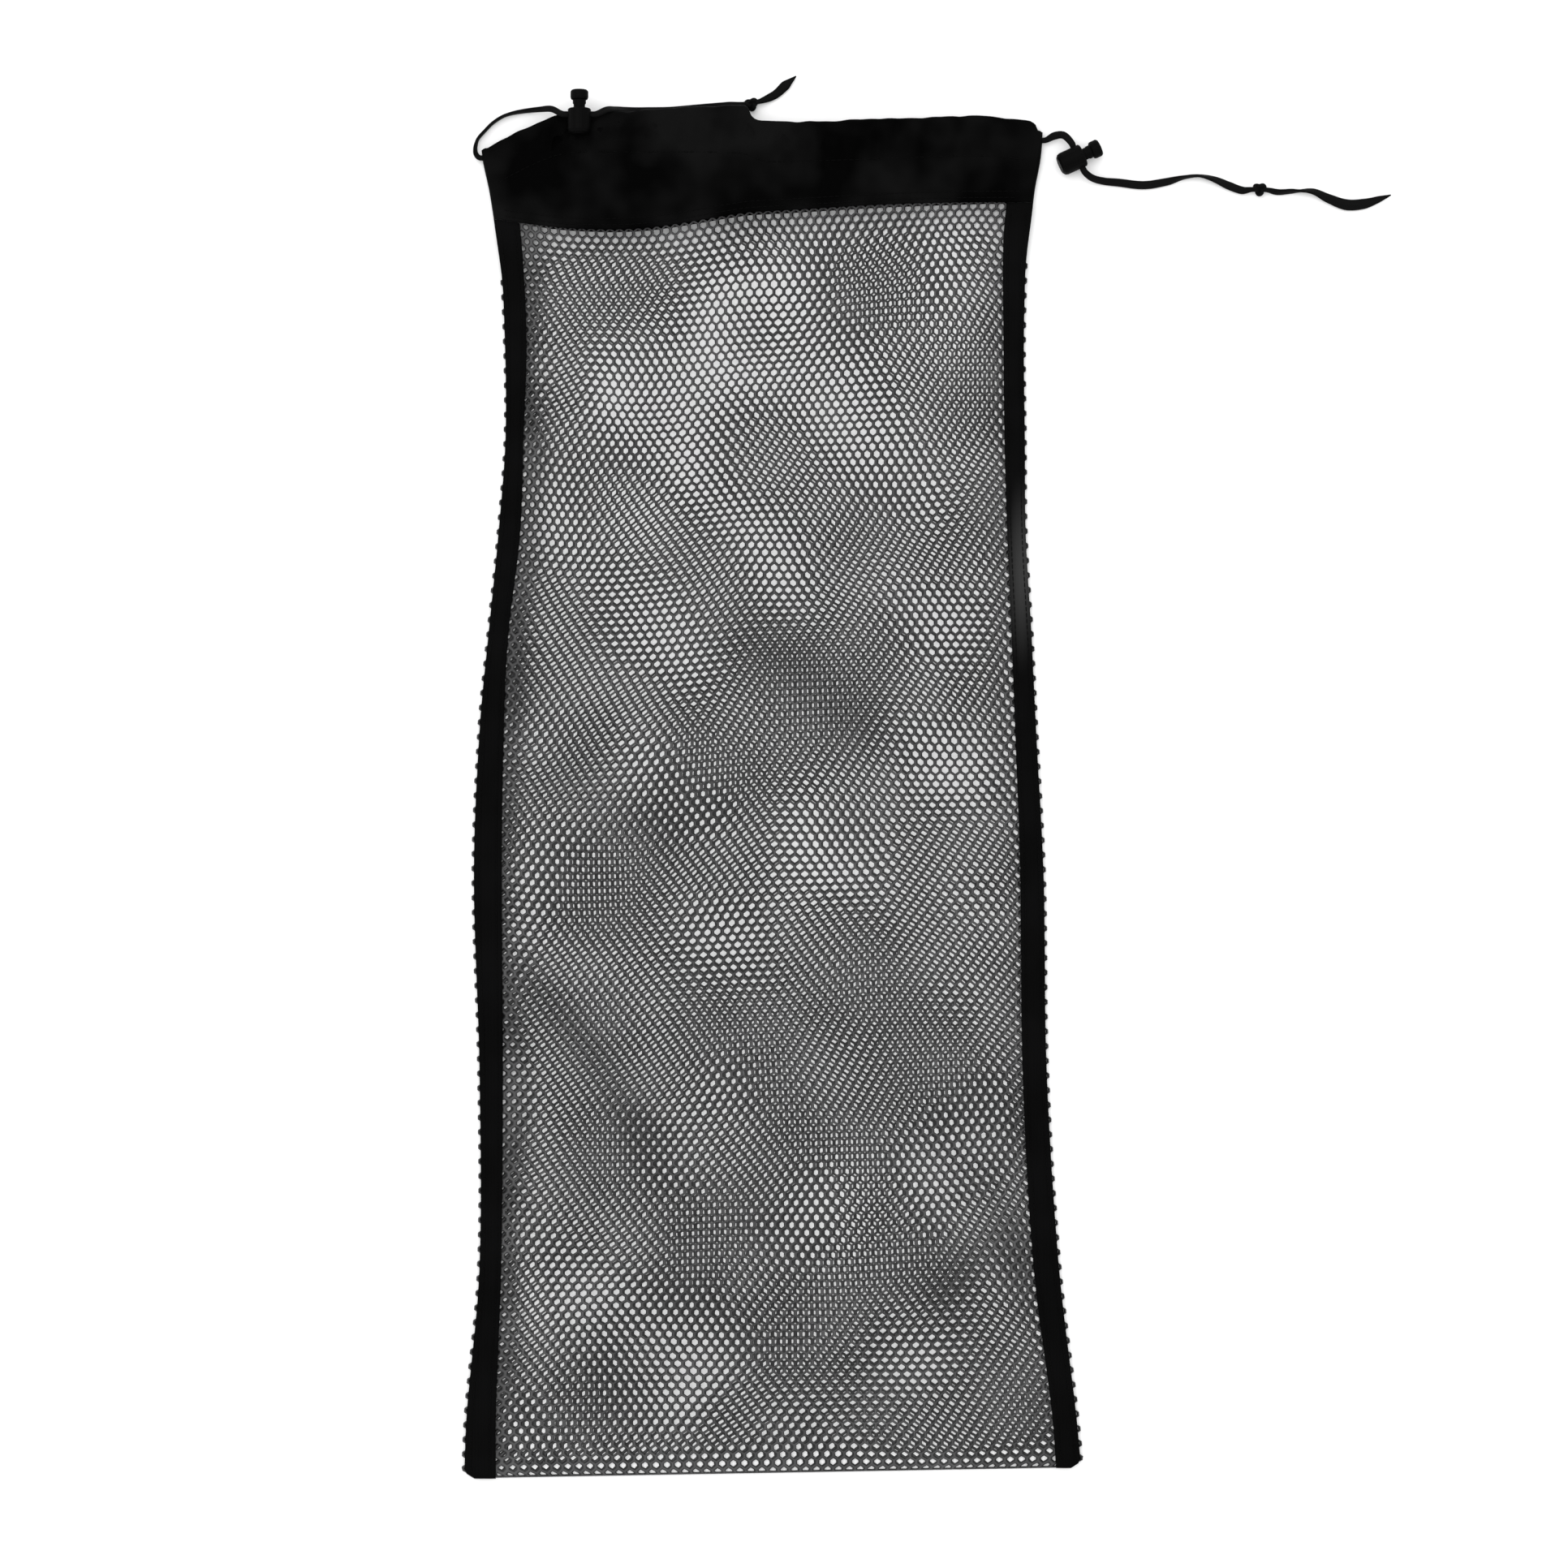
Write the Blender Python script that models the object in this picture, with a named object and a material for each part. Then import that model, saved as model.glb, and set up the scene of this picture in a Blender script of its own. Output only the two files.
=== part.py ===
"""Mesh drawstring gear bag lying on its back, in metres, +Z up, mouth towards +Y.

The origin is on the floor under the middle of the bag, without its cords.
"""

import math
from collections import namedtuple

import bmesh
import bpy
from mathutils import Vector

# Bag
BAG_LENGTH = 0.762         # mouth to bottom fold
BAG_WIDTH = 0.352          # across the bottom
NET_WALL = 0.0010
LAYER_GAP = 0.0003         # between cloth layers that lie on each other
BODY_RISE = 0.0098         # front net above the seams, in the middle of the bag
FOLD_HEIGHT = 0.0018
FOLD_WIDTH = 0.014
WAVE_HEIGHT = 0.0008
WAVE_LENGTH = 0.210
WAVE_SLANT = 0.074         # how far a wave runs down from the middle to the side
CORNER_RADIUS = 0.007
CORNER_STEPS = 2
FOOT_SLANT = 0.0030        # the bottom fold runs lower at the left

# Coarse net
NET_COLUMNS = 6
NET_ROWS = 11
NET_STRAND = 0.012
CURVE_POWER = 3.5          # how square the front net stands across the bag
FOOT_THIRDS = 8            # thirds of a row over which the front net rises from the bottom fold
FRONT_THIRDS = 4           # thirds of a row over which each panel climbs to the casing
BACK_THIRDS = 1
RAMP_LEAD = 0.002          # each panel is at casing height this far below the casing

# Side tapes
TAPE_WIDTH = 0.014
TAPE_WALL = 0.0010
SELVAGE = 0.0025           # net that shows outside the tape

# Casing round the mouth
CASING_HEIGHT = 0.055
CASING_WALL = 0.0010
MOUTH_RISE = 0.0062
SEAM_SLACK = 0.0011        # spare height between the net layers inside the casing
NET_TUCK = 0.010           # net inside the casing
HEM_DEPTH = 0.024
HEM_INSET = 0.012          # hem end from the side of the casing
CHANNEL = 0.0006
SIDE_BULGE = 0.0025
HEM_ROOF = 0.0032          # mouth edge to the top of the cord channel
CASING_STATIONS = 21

# Drawcord, its knots and locks
CORD_RADIUS = 0.0015
CORD_SPACING = 0.0062
EXIT_RADIUS = 0.0019
EXIT_DEPTH = 0.0055        # exit hole from the mouth edge
KNOT_LENGTH = 0.0084
KNOT_RADIUS = 0.0033
KNOT_CENTRES = {"left": (-0.0121, 0.3897, 0.0034), "right": (0.2739, 0.3419, 0.0034)}
LOCK_RADIUS = 0.0065
LOCK_BACK = 0.0113         # cross hole to the closed end
LOCK_RIM = 0.0032          # cross hole to the open end
LOCK_BOTTOM = 0.0016
LOCK_EDGE = 0.0006
CROSS_HOLE = 0.0023
STEM_RADIUS = 0.0037
STEM_TAIL = 0.0052
STEM_CLEARANCE = 0.0003
NECK = 0.0048
HEAD_RADIUS = 0.0050
HEAD_LENGTH = 0.0058
PRESS_TRAVEL = 0.0040
SLOT_HALF = 0.0020
LOCK_SIDES = 24
LOCK_PLACES = {"left": (-0.1082, 0.3815, 90.0), "right": (0.1714, 0.3593, 25.0)}

# Edges of the bag seen from above: along is a share of BAG_LENGTH from the middle, left and right
# are shares of half BAG_WIDTH, and the tapes are shares of TAPE_WIDTH.
Outline = namedtuple("Outline", "along left right left_tape right_tape")
OUTLINE = [
    Outline(-0.500, -1.000, 1.000, 1.25, 1.00),
    Outline(-0.456, -0.992, 0.982, 1.15, 0.95),
    Outline(-0.347, -0.951, 0.927, 0.85, 1.00),
    Outline(-0.203, -0.951, 0.888, 0.92, 0.95),
    Outline(-0.059, -0.969, 0.878, 1.10, 0.92),
    Outline(0.049, -0.951, 0.854, 0.95, 0.82),
    Outline(0.121, -0.922, 0.839, 0.78, 0.78),
    Outline(0.193, -0.891, 0.821, 0.85, 0.72),
    Outline(0.265, -0.868, 0.818, 0.70, 0.80),
    Outline(0.337, -0.870, 0.815, 0.85, 0.80),
    Outline(0.409, -0.885, 0.823, 0.85, 0.92),
    Outline(0.445, -0.906, 0.836, 0.85, 0.90),
    Outline(0.472, -0.930, 0.857, 0.85, 0.90),
    Outline(0.500, -0.938, 0.865, 0.85, 0.90),
]

# Mouth and lower edge of the casing: across runs from -1 to 1 between the sides, both heights are
# shares of CASING_HEIGHT, the first above the nominal mouth line and the second below it.
Casing = namedtuple("Casing", "across mouth low")
CASING_EDGES = [
    Casing(-1.00, -0.291, 1.024),
    Casing(-0.93, -0.180, 1.057),
    Casing(-0.72, 0.035, 1.130),
    Casing(-0.45, 0.050, 1.130),
    Casing(-0.06, 0.042, 0.975),
    Casing(0.12, -0.005, 0.945),
    Casing(0.46, 0.025, 0.890),
    Casing(0.81, 0.050, 0.857),
    Casing(0.97, 0.000, 0.849),
    Casing(1.00, -0.110, 0.849),
]

# Soft folds of the front net: both ends as across shares and along shares, rise as a share of
# FOLD_HEIGHT and width as a share of FOLD_WIDTH.
Fold = namedtuple("Fold", "across0 along0 across1 along1 rise width")
FOLDS = [
    Fold(-0.86, -0.125, -0.39, -0.255, -0.90, 1.10),
    Fold(-0.40, -0.260, -0.05, -0.300, 0.70, 1.50),
    Fold(0.84, -0.320, 0.55, -0.380, 0.95, 0.90),
    Fold(0.60, -0.360, 0.48, -0.440, -0.70, 1.00),
    Fold(0.36, 0.090, 0.80, 0.010, 0.80, 1.00),
    Fold(-0.85, 0.040, -0.35, 0.110, -0.80, 1.20),
    Fold(0.20, 0.370, 0.55, 0.290, 0.70, 1.20),
    Fold(-0.70, 0.330, -0.35, 0.220, 0.60, 1.30),
]

# Drawcord routes, in metres: from inside the casing to the knot, and from the knot to the tip
ROUTES = {
    "left": [
        (-0.1549, 0.3595, 0.0030), (-0.1618, 0.3595, 0.0030), (-0.1655, 0.3597, 0.0030),
        (-0.1682, 0.3632, 0.0023), (-0.1670, 0.3700, 0.0016), (-0.1627, 0.3755, 0.0016),
        (-0.1577, 0.3806, 0.0016), (-0.1504, 0.3849, 0.0016), (-0.1389, 0.3874, 0.0022),
        (-0.1302, 0.3872, 0.0060), (-0.1240, 0.3854, 0.0120), (-0.1178, 0.3818, 0.0168),
        (-0.1140, 0.3815, 0.0174),
        (-0.1024, 0.3815, 0.0174), (-0.0986, 0.3818, 0.0168), (-0.0930, 0.3848, 0.0135),
        (-0.0881, 0.3859, 0.0085), (-0.0812, 0.3862, 0.0034), (-0.0721, 0.3862, 0.0016),
        (-0.0584, 0.3864, 0.0016), (-0.0396, 0.3880, 0.0016), (-0.0240, 0.3892, 0.0019),
        (-0.0167, 0.3896, 0.0032),
    ],
    "right": [
        (0.1420, 0.3694, 0.0030), (0.1495, 0.3694, 0.0030), (0.1535, 0.3695, 0.0031),
        (0.1582, 0.3716, 0.0046), (0.1632, 0.3718, 0.0060),
        (0.1676, 0.3676, 0.0065), (0.1694, 0.3636, 0.0065),
        (0.1734, 0.3550, 0.0065), (0.1752, 0.3511, 0.0065), (0.1796, 0.3479, 0.0050),
        (0.1865, 0.3465, 0.0022), (0.1943, 0.3458, 0.0016), (0.2089, 0.3444, 0.0016),
        (0.2222, 0.3463, 0.0016), (0.2309, 0.3485, 0.0016), (0.2396, 0.3495, 0.0016),
        (0.2483, 0.3476, 0.0016), (0.2570, 0.3440, 0.0016), (0.2643, 0.3414, 0.0020),
        (0.2693, 0.3417, 0.0032),
    ],
}
TAIL_ROUTES = {
    "left": [
        (-0.0078, 0.3912, 0.0032), (-0.0021, 0.3936, 0.0019), (0.0021, 0.3960, 0.0016),
        (0.0071, 0.4007, 0.0016), (0.0130, 0.4058, 0.0016),
    ],
    "right": [
        (0.2785, 0.3414, 0.0032), (0.2849, 0.3403, 0.0019), (0.2922, 0.3408, 0.0016),
        (0.3037, 0.3408, 0.0016), (0.3124, 0.3371, 0.0016), (0.3229, 0.3334, 0.0016),
        (0.3330, 0.3339, 0.0016), (0.3417, 0.3366, 0.0016), (0.3481, 0.3389, 0.0016),
    ],
}

# Name: colour, roughness, metallic
FINISHES = {
    "net_cord": ((0.012, 0.012, 0.013), 0.55, 0.0),
    "tape": ((0.010, 0.010, 0.011), 0.60, 0.0),
    "casing_nylon": ((0.008, 0.008, 0.009), 0.50, 0.0),
    "drawcord": ((0.010, 0.010, 0.011), 0.65, 0.0),
    "lock_plastic": ((0.012, 0.012, 0.012), 0.35, 0.0),
}


def material(name):
    found = bpy.data.materials.get(name)
    if found:
        return found
    colour, roughness, metallic = FINISHES[name]
    made = bpy.data.materials.new(name)
    made.use_nodes = True
    shader = made.node_tree.nodes["Principled BSDF"]
    shader.inputs["Base Color"].default_value = (*colour, 1.0)
    shader.inputs["Roughness"].default_value = roughness
    shader.inputs["Metallic"].default_value = metallic
    return made


def add_mesh(name, points, faces, finish):
    """One closed mesh object with its faces pointing out."""
    mesh = bpy.data.meshes.new(name)
    mesh.from_pydata([tuple(point) for point in points], [], faces)
    work = bmesh.new()
    work.from_mesh(mesh)
    bmesh.ops.recalc_face_normals(work, faces=work.faces)
    work.to_mesh(mesh)
    work.free()
    mesh.shade_smooth()
    mesh.set_sharp_from_angle(angle=math.radians(35))
    thing = bpy.data.objects.new(name, mesh)
    thing.data.materials.append(material(finish))
    bpy.context.scene.collection.objects.link(thing)
    return thing


# Reading the tables

def read(rows, column, at):
    """Smooth value of a table column; the first column is the place."""
    places = [row[0] for row in rows]
    values = [getattr(row, column) for row in rows]
    at = min(max(at, places[0]), places[-1])
    i = 0
    while i < len(places) - 2 and at > places[i + 1]:
        i += 1

    def slope(k):
        low, high = max(k - 1, 0), min(k + 1, len(places) - 1)
        return (values[high] - values[low]) / (places[high] - places[low])

    step = places[i + 1] - places[i]
    t = (at - places[i]) / step
    return (
        (2 * t**3 - 3 * t**2 + 1) * values[i]
        + (t**3 - 2 * t**2 + t) * step * slope(i)
        + (3 * t**2 - 2 * t**3) * values[i + 1]
        + (t**3 - t**2) * step * slope(i + 1)
    )


def blend(a, b, t):
    return a + (b - a) * t


def edges_at(y):
    """Left and right edge of the bag, and the inner edges of the two tapes."""
    along = y / BAG_LENGTH
    left = read(OUTLINE, "left", along) * BAG_WIDTH / 2
    right = read(OUTLINE, "right", along) * BAG_WIDTH / 2
    left_inner = left + SELVAGE + read(OUTLINE, "left_tape", along) * TAPE_WIDTH
    right_inner = right - SELVAGE - read(OUTLINE, "right_tape", along) * TAPE_WIDTH
    return left, right, left_inner, right_inner


def across_at(x, y):
    """Place between the sides of the casing, -1 to 1."""
    left, right = edges_at(y)[:2]
    share = (x - left - SIDE_BULGE) / (right - left - 2 * SIDE_BULGE)
    return 2 * min(max(share, 0.0), 1.0) - 1


def mouth_line(across):
    return BAG_LENGTH / 2 + read(CASING_EDGES, "mouth", across) * CASING_HEIGHT


def casing_low_line(across):
    return BAG_LENGTH / 2 - read(CASING_EDGES, "low", across) * CASING_HEIGHT


def foot_line(across):
    return -BAG_LENGTH / 2 + FOOT_SLANT * across


# Heights of the cloth

SEAM_FRONT = NET_WALL + LAYER_GAP
CASING_BACK_TOP = CASING_WALL + LAYER_GAP
CASING_SEAM_FRONT = CASING_BACK_TOP + NET_WALL + LAYER_GAP + SEAM_SLACK
NET_TO_CASING = NET_WALL + LAYER_GAP
NET_SIDE_DRAW = SIDE_BULGE + LAYER_GAP


def ramp(row, thirds):
    return min(max(1 - 3 * (NET_ROWS - row) / thirds, 0.0), 1.0)


def hump(side):
    """Rise across the bag: 0 at the tapes' inner edges, 1 in the middle."""
    return 1.0 - min(abs(side), 1.0) ** CURVE_POWER


def fold_height(side, y):
    height = WAVE_HEIGHT * math.sin(math.tau * (y + WAVE_SLANT * side) / WAVE_LENGTH)
    here = Vector((side * BAG_WIDTH / 2, y))
    for fold in FOLDS:
        start = Vector((fold.across0 * BAG_WIDTH / 2, fold.along0 * BAG_LENGTH))
        end = Vector((fold.across1 * BAG_WIDTH / 2, fold.along1 * BAG_LENGTH))
        run = end - start
        t = min(max((here - start).dot(run) / run.length_squared, 0.0), 1.0)
        away = (here - start - run * t).length / (fold.width * FOLD_WIDTH)
        height += fold.rise * FOLD_HEIGHT * math.exp(-away * away)
    return height


def front_low(side, row, y):
    """Underside of the front net; side is -1 and 1 at the tapes' inner edges."""
    climb = ramp(row, FRONT_THIRDS)
    seam = blend(SEAM_FRONT, CASING_SEAM_FRONT, climb)
    from_fold = min(3 * max(row + 1, 0.0) / FOOT_THIRDS, 1.0)
    body = (BODY_RISE + fold_height(side, y)) * (1 - (1 - from_fold) ** 2)
    return seam + blend(body, MOUTH_RISE, climb) * hump(side)


def back_low(row):
    return CASING_BACK_TOP * ramp(row, BACK_THIRDS)


# Net panels

def lattice_y(across, row):
    """Rows -2 to -1 are the band at the fold, and the row past NET_ROWS is inside the casing."""
    low = casing_low_line(across)
    if row > NET_ROWS:
        return low + NET_TUCK
    if row < -1:
        return foot_line(across) + CORNER_RADIUS * (row + 2)
    start = foot_line(across) + CORNER_RADIUS
    return blend(start, low - RAMP_LEAD, (row + 1) / (NET_ROWS + 1))


def corner_inset(y, across):
    """How far the rounded corner at the bottom fold cuts in."""
    up = max(y - foot_line(across), 0.0)
    if up >= CORNER_RADIUS:
        return 0.0
    return CORNER_RADIUS - math.sqrt(CORNER_RADIUS**2 - (CORNER_RADIUS - up) ** 2)


def net_edges(y, row):
    """Edges of the net at this height, drawn in where it goes into the casing."""
    left, right, left_inner, right_inner = edges_at(y)
    draw = NET_SIDE_DRAW * ramp(row, BACK_THIRDS)
    return left + draw, right - draw, left_inner, right_inner


def lattice_place(column, row):
    """Plan position of a lattice point; column -1 and NET_COLUMNS + 1 are the outer edges."""
    side = min(max(2 * column / NET_COLUMNS - 1, -1.0), 1.0)
    y = lattice_y(side, row)
    left, right, left_inner, right_inner = net_edges(y, row)
    inset = corner_inset(y, side)
    if column < 0:
        return side, left + inset, y
    if column > NET_COLUMNS:
        return side, right - inset, y
    return side, blend(left_inner, right_inner, column / NET_COLUMNS), y


def net_faces(shift):
    """Faces of one panel in lattice units; shift 0 or 1 staggers the two panels."""
    pitch = BAG_WIDTH / (NET_COLUMNS + 1)
    shrink = 1 - NET_STRAND / pitch
    corners = [(0, -2 / 3), (0.5, -1 / 3), (0.5, 1 / 3), (0, 2 / 3), (-0.5, 1 / 3), (-0.5, -1 / 3)]
    last = NET_COLUMNS
    faces = []
    for row in range(NET_ROWS):
        whole = (row + shift) % 2 == 0
        start = 0.5 if whole else 1.0
        for i in range(last if whole else last - 1):
            centre = start + i
            outer = [(centre + a, row + b) for a, b in corners]
            inner = [(centre + a * shrink, row + b * shrink) for a, b in corners]
            for k in range(6):
                n = (k + 1) % 6
                faces.append([outer[k], outer[n], inner[n], inner[k]])
        if not whole:
            faces.append([(0, row - 2 / 3), (0.5, row - 1 / 3), (0.5, row + 1 / 3), (0, row + 2 / 3)])
            faces.append([
                (last, row + 2 / 3), (last - 0.5, row + 1 / 3), (last - 0.5, row - 1 / 3),
                (last, row - 2 / 3),
            ])

    def zigzag(row, step, away):
        """Tip of a cell at each half column of a border row."""
        on_centre = (2 * step + 1 + row + shift) % 2 == 0
        return row + away * (2 / 3 if on_centre else 1 / 3)

    top = NET_ROWS - 1
    foot = [(k / CORNER_STEPS) ** 2 - 2 for k in range(CORNER_STEPS + 1)]
    for i in range(2 * last):
        a, b = i / 2, (i + 1) / 2
        low_a, low_b = zigzag(0, a, -1), zigzag(0, b, -1)
        high_a, high_b = zigzag(top, a, 1), zigzag(top, b, 1)
        faces.append([(a, -1), (b, -1), (b, low_b), (a, low_a)])
        faces.append([(a, high_a), (b, high_b), (b, NET_ROWS), (a, NET_ROWS)])
        faces.append([(a, NET_ROWS), (b, NET_ROWS), (b, NET_ROWS + 1), (a, NET_ROWS + 1)])
        for low, high in zip(foot, foot[1:]):
            faces.append([(a, low), (b, low), (b, high), (a, high)])
    sides = sorted({round(point[1], 6) for face in faces for point in face if point[0] == 0})
    for low, high in zip(sides, sides[1:]):
        faces.append([(-1, low), (0, low), (0, high), (-1, high)])
        faces.append([(last, low), (last + 1, low), (last + 1, high), (last, high)])
    return faces


def closed_sheet(name, faces, place, wall, finish):
    """Sheet of flat faces turned into a closed wall; place gives the lower point of each corner."""
    keys = {}
    points = []
    for face in faces:
        for corner in face:
            key = (round(corner[0], 5), round(corner[1], 5))
            if key not in keys:
                keys[key] = len(points)
                points.append(Vector(place(*key)))
    count = len(points)
    points += [point + Vector((0, 0, wall)) for point in points]
    loops = [[keys[(round(a, 5), round(b, 5))] for a, b in face] for face in faces]
    edges = {(loop[i], loop[(i + 1) % len(loop)]) for loop in loops for i in range(len(loop))}
    solid = [list(reversed(loop)) for loop in loops]
    solid += [[index + count for index in loop] for loop in loops]
    for a, b in edges:
        if (b, a) not in edges:
            solid.append([a, b, b + count, a + count])
    return add_mesh(name, points, solid, finish)


def build_net_front():
    def place(column, row):
        side, x, y = lattice_place(column, row)
        return x, y, front_low(side, row, y)

    return closed_sheet("net_front", net_faces(0), place, NET_WALL, "net_cord")


def build_net_back():
    def place(column, row):
        x, y = lattice_place(column, row)[1:]
        return x, y, back_low(row)

    return closed_sheet("net_back", net_faces(1), place, NET_WALL, "net_cord")


def build_tape(name, hand):
    """Flat tape along one side, from the bottom fold to the casing's lower edge."""
    border = sorted({point[1] for face in net_faces(0) for point in face if point[0] == 0})
    rows = [row for row in border if row <= NET_ROWS]
    rows.append(NET_ROWS + 0.5)
    faces = [[(0, a), (1, a), (1, b), (0, b)] for a, b in zip(rows, rows[1:])]
    top_row = round(NET_ROWS + 0.5, 5)

    def place(outward, row):
        y = lattice_y(hand, min(row, NET_ROWS))
        left, right, left_inner, right_inner = net_edges(y, min(row, NET_ROWS))
        edge, inner = (left, left_inner) if hand < 0 else (right, right_inner)
        at_inner = outward == (1 if hand < 0 else 0)
        x = inner if at_inner else edge - hand * (SELVAGE + corner_inset(y, hand))
        if row == top_row:
            y = casing_low_line(across_at(x, y)) - LAYER_GAP
        height = front_low(1.0, min(row, NET_ROWS), y) + NET_WALL + LAYER_GAP
        return x, y, height

    return closed_sheet(name, faces, place, TAPE_WALL, "tape")


# Casing

def casing_front(layer, x, y):
    """Front height of one of the casing's four surfaces, outermost first."""
    left, right, left_inner, right_inner = edges_at(y)
    side = 2 * (x - left_inner) / (right_inner - left_inner) - 1
    net = CASING_SEAM_FRONT + MOUTH_RISE * hump(side)
    inner = net + NET_TO_CASING
    return (inner + CASING_WALL, inner, inner - CHANNEL, inner - CHANNEL - CASING_WALL)[layer]


CASING_BACK = (0.0, CASING_WALL, CASING_WALL + CHANNEL, 2 * CASING_WALL + CHANNEL)
SHOULDERS = (SIDE_BULGE, SIDE_BULGE, HEM_INSET, HEM_INSET)
CAP_BULGES = (SIDE_BULGE, SIDE_BULGE - CASING_WALL, CASING_WALL + LAYER_GAP, LAYER_GAP)
CAP_ANGLES = (50.0, 90.0, 130.0)


def casing_stations():
    """Stations once round the mouth: front, right cap, back, left cap."""
    shares = [i / (CASING_STATIONS - 1) for i in range(CASING_STATIONS)]
    stations = [("front", share) for share in shares]
    stations += [("right", angle) for angle in CAP_ANGLES]
    stations += [("back", share) for share in reversed(shares)]
    stations += [("left", angle) for angle in reversed(CAP_ANGLES)]
    return stations


def casing_point(layer, station, level):
    part, value = station
    if part in ("front", "back"):
        across = 2 * value - 1
    else:
        across = 1.0 if part == "right" else -1.0
    y = level(across)
    left, right = edges_at(y)[:2]
    low_x, high_x = left + SHOULDERS[layer], right - SHOULDERS[layer]
    back = CASING_BACK[layer]
    if part in ("front", "back"):
        x = blend(low_x, high_x, value)
        return Vector((x, y, casing_front(layer, x, y) if part == "front" else back))
    x = high_x if part == "right" else low_x
    front = casing_front(layer, x, y)
    angle = math.radians(value)
    out = CAP_BULGES[layer] * math.sin(angle)
    height = blend(back, front, 0.5 + 0.5 * math.cos(angle))
    return Vector((x + out if part == "right" else x - out, y, height))


def build_casing():
    def under_mouth(depth):
        return lambda across: mouth_line(across) - depth

    def between(share):
        return lambda across: blend(casing_low_line(across), mouth_line(across), share)

    fold_dip = 0.15 * CASING_WALL
    profile = [
        (0, 0, 0.0, between(0.0)), (0, 0, 0.0, between(0.35)), (0, 0, 0.0, between(0.7)),
        (0, 0, 0.0, under_mouth(1.4 * CASING_WALL)), (0, 3, 0.22, under_mouth(fold_dip)),
        (0, 3, 0.5, under_mouth(0.0)), (0, 3, 0.78, under_mouth(fold_dip)),
        (3, 3, 0.0, under_mouth(1.4 * CASING_WALL)), (3, 3, 0.0, under_mouth(HEM_DEPTH)),
        (2, 2, 0.0, under_mouth(HEM_DEPTH)), (2, 2, 0.0, under_mouth(HEM_ROOF)),
        (1, 1, 0.0, under_mouth(HEM_ROOF)), (1, 1, 0.0, between(0.35)), (1, 1, 0.0, between(0.0)),
    ]
    stations = casing_stations()
    points = []
    for station in stations:
        for first, second, share, level in profile:
            a = casing_point(first, station, level)
            b = casing_point(second, station, level)
            points.append(a.lerp(b, share))
    size = len(profile)
    faces = []
    for i in range(len(stations)):
        n = (i + 1) % len(stations)
        for j in range(size):
            k = (j + 1) % size
            faces.append([i * size + j, n * size + j, n * size + k, i * size + k])
    casing = add_mesh("casing", points, faces, "casing_nylon")
    for hand in (-1, 1):
        y = mouth_line(hand) - EXIT_DEPTH
        left, right = edges_at(y)[:2]
        x = right if hand > 0 else left
        front = casing_front(1, x - hand * SIDE_BULGE, y)
        height = (CASING_BACK[1] + front) / 2
        hole = add_cylinder("exit_cutter", EXIT_RADIUS, 4 * SIDE_BULGE, "X")
        hole.location = (x, y, height)
        cut(casing, hole)
    return casing


# Cutters

def as_cutter(thing):
    thing.hide_render = True
    thing.display_type = "WIRE"
    return thing


def add_cylinder(name, radius, length, axis):
    """Cylinder cutter along one axis, centred on its origin."""
    work = bmesh.new()
    bmesh.ops.create_cone(work, cap_ends=True, segments=LOCK_SIDES // 2, radius1=radius,
                          radius2=radius, depth=length)
    for vertex in work.verts:
        x, y, z = vertex.co
        vertex.co = (z, x, y) if axis == "X" else (y, z, x)
    mesh = bpy.data.meshes.new(name)
    work.to_mesh(mesh)
    work.free()
    thing = bpy.data.objects.new(name, mesh)
    bpy.context.scene.collection.objects.link(thing)
    return as_cutter(thing)


def add_block(name, low, high):
    work = bmesh.new()
    bmesh.ops.create_cube(work, size=1.0)
    for vertex in work.verts:
        vertex.co = [blend(low[i], high[i], vertex.co[i] + 0.5) for i in range(3)]
    mesh = bpy.data.meshes.new(name)
    work.to_mesh(mesh)
    work.free()
    thing = bpy.data.objects.new(name, mesh)
    bpy.context.scene.collection.objects.link(thing)
    return as_cutter(thing)


def cut(thing, cutter):
    change = thing.modifiers.new("cut", "BOOLEAN")
    change.operation = "DIFFERENCE"
    change.solver = "EXACT"
    change.object = cutter


# Cord locks

def add_turned(name, profile, finish):
    """Body turned round X from (along, radius) pairs that start and end on the axis."""
    points = []
    rings = []
    for along, radius in profile:
        if radius == 0:
            rings.append([len(points)])
            points.append((along, 0, 0))
            continue
        rings.append(range(len(points), len(points) + LOCK_SIDES))
        for i in range(LOCK_SIDES):
            angle = math.tau * i / LOCK_SIDES
            points.append((along, radius * math.cos(angle), radius * math.sin(angle)))
    faces = []
    for first, second in zip(rings, rings[1:]):
        for i in range(LOCK_SIDES):
            n = (i + 1) % LOCK_SIDES
            if len(first) == 1:
                faces.append([first[0], second[i], second[n]])
            elif len(second) == 1:
                faces.append([first[i], first[n], second[0]])
            else:
                faces.append([first[i], first[n], second[n], second[i]])
    return add_mesh(name, points, faces, finish)


def lock_pose(hand):
    """Place of a lock's cross hole, and its turn about Z."""
    x, y, degrees = LOCK_PLACES[hand]
    height = LOCK_RADIUS
    if hand == "left":
        height += casing_front(0, x, y - LOCK_BACK / 2) + LAYER_GAP
    return (x, y, height), math.radians(degrees)


def place_on(thing, hand):
    location, turn = lock_pose(hand)
    thing.location = location
    thing.rotation_euler = (0, 0, turn)


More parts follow.
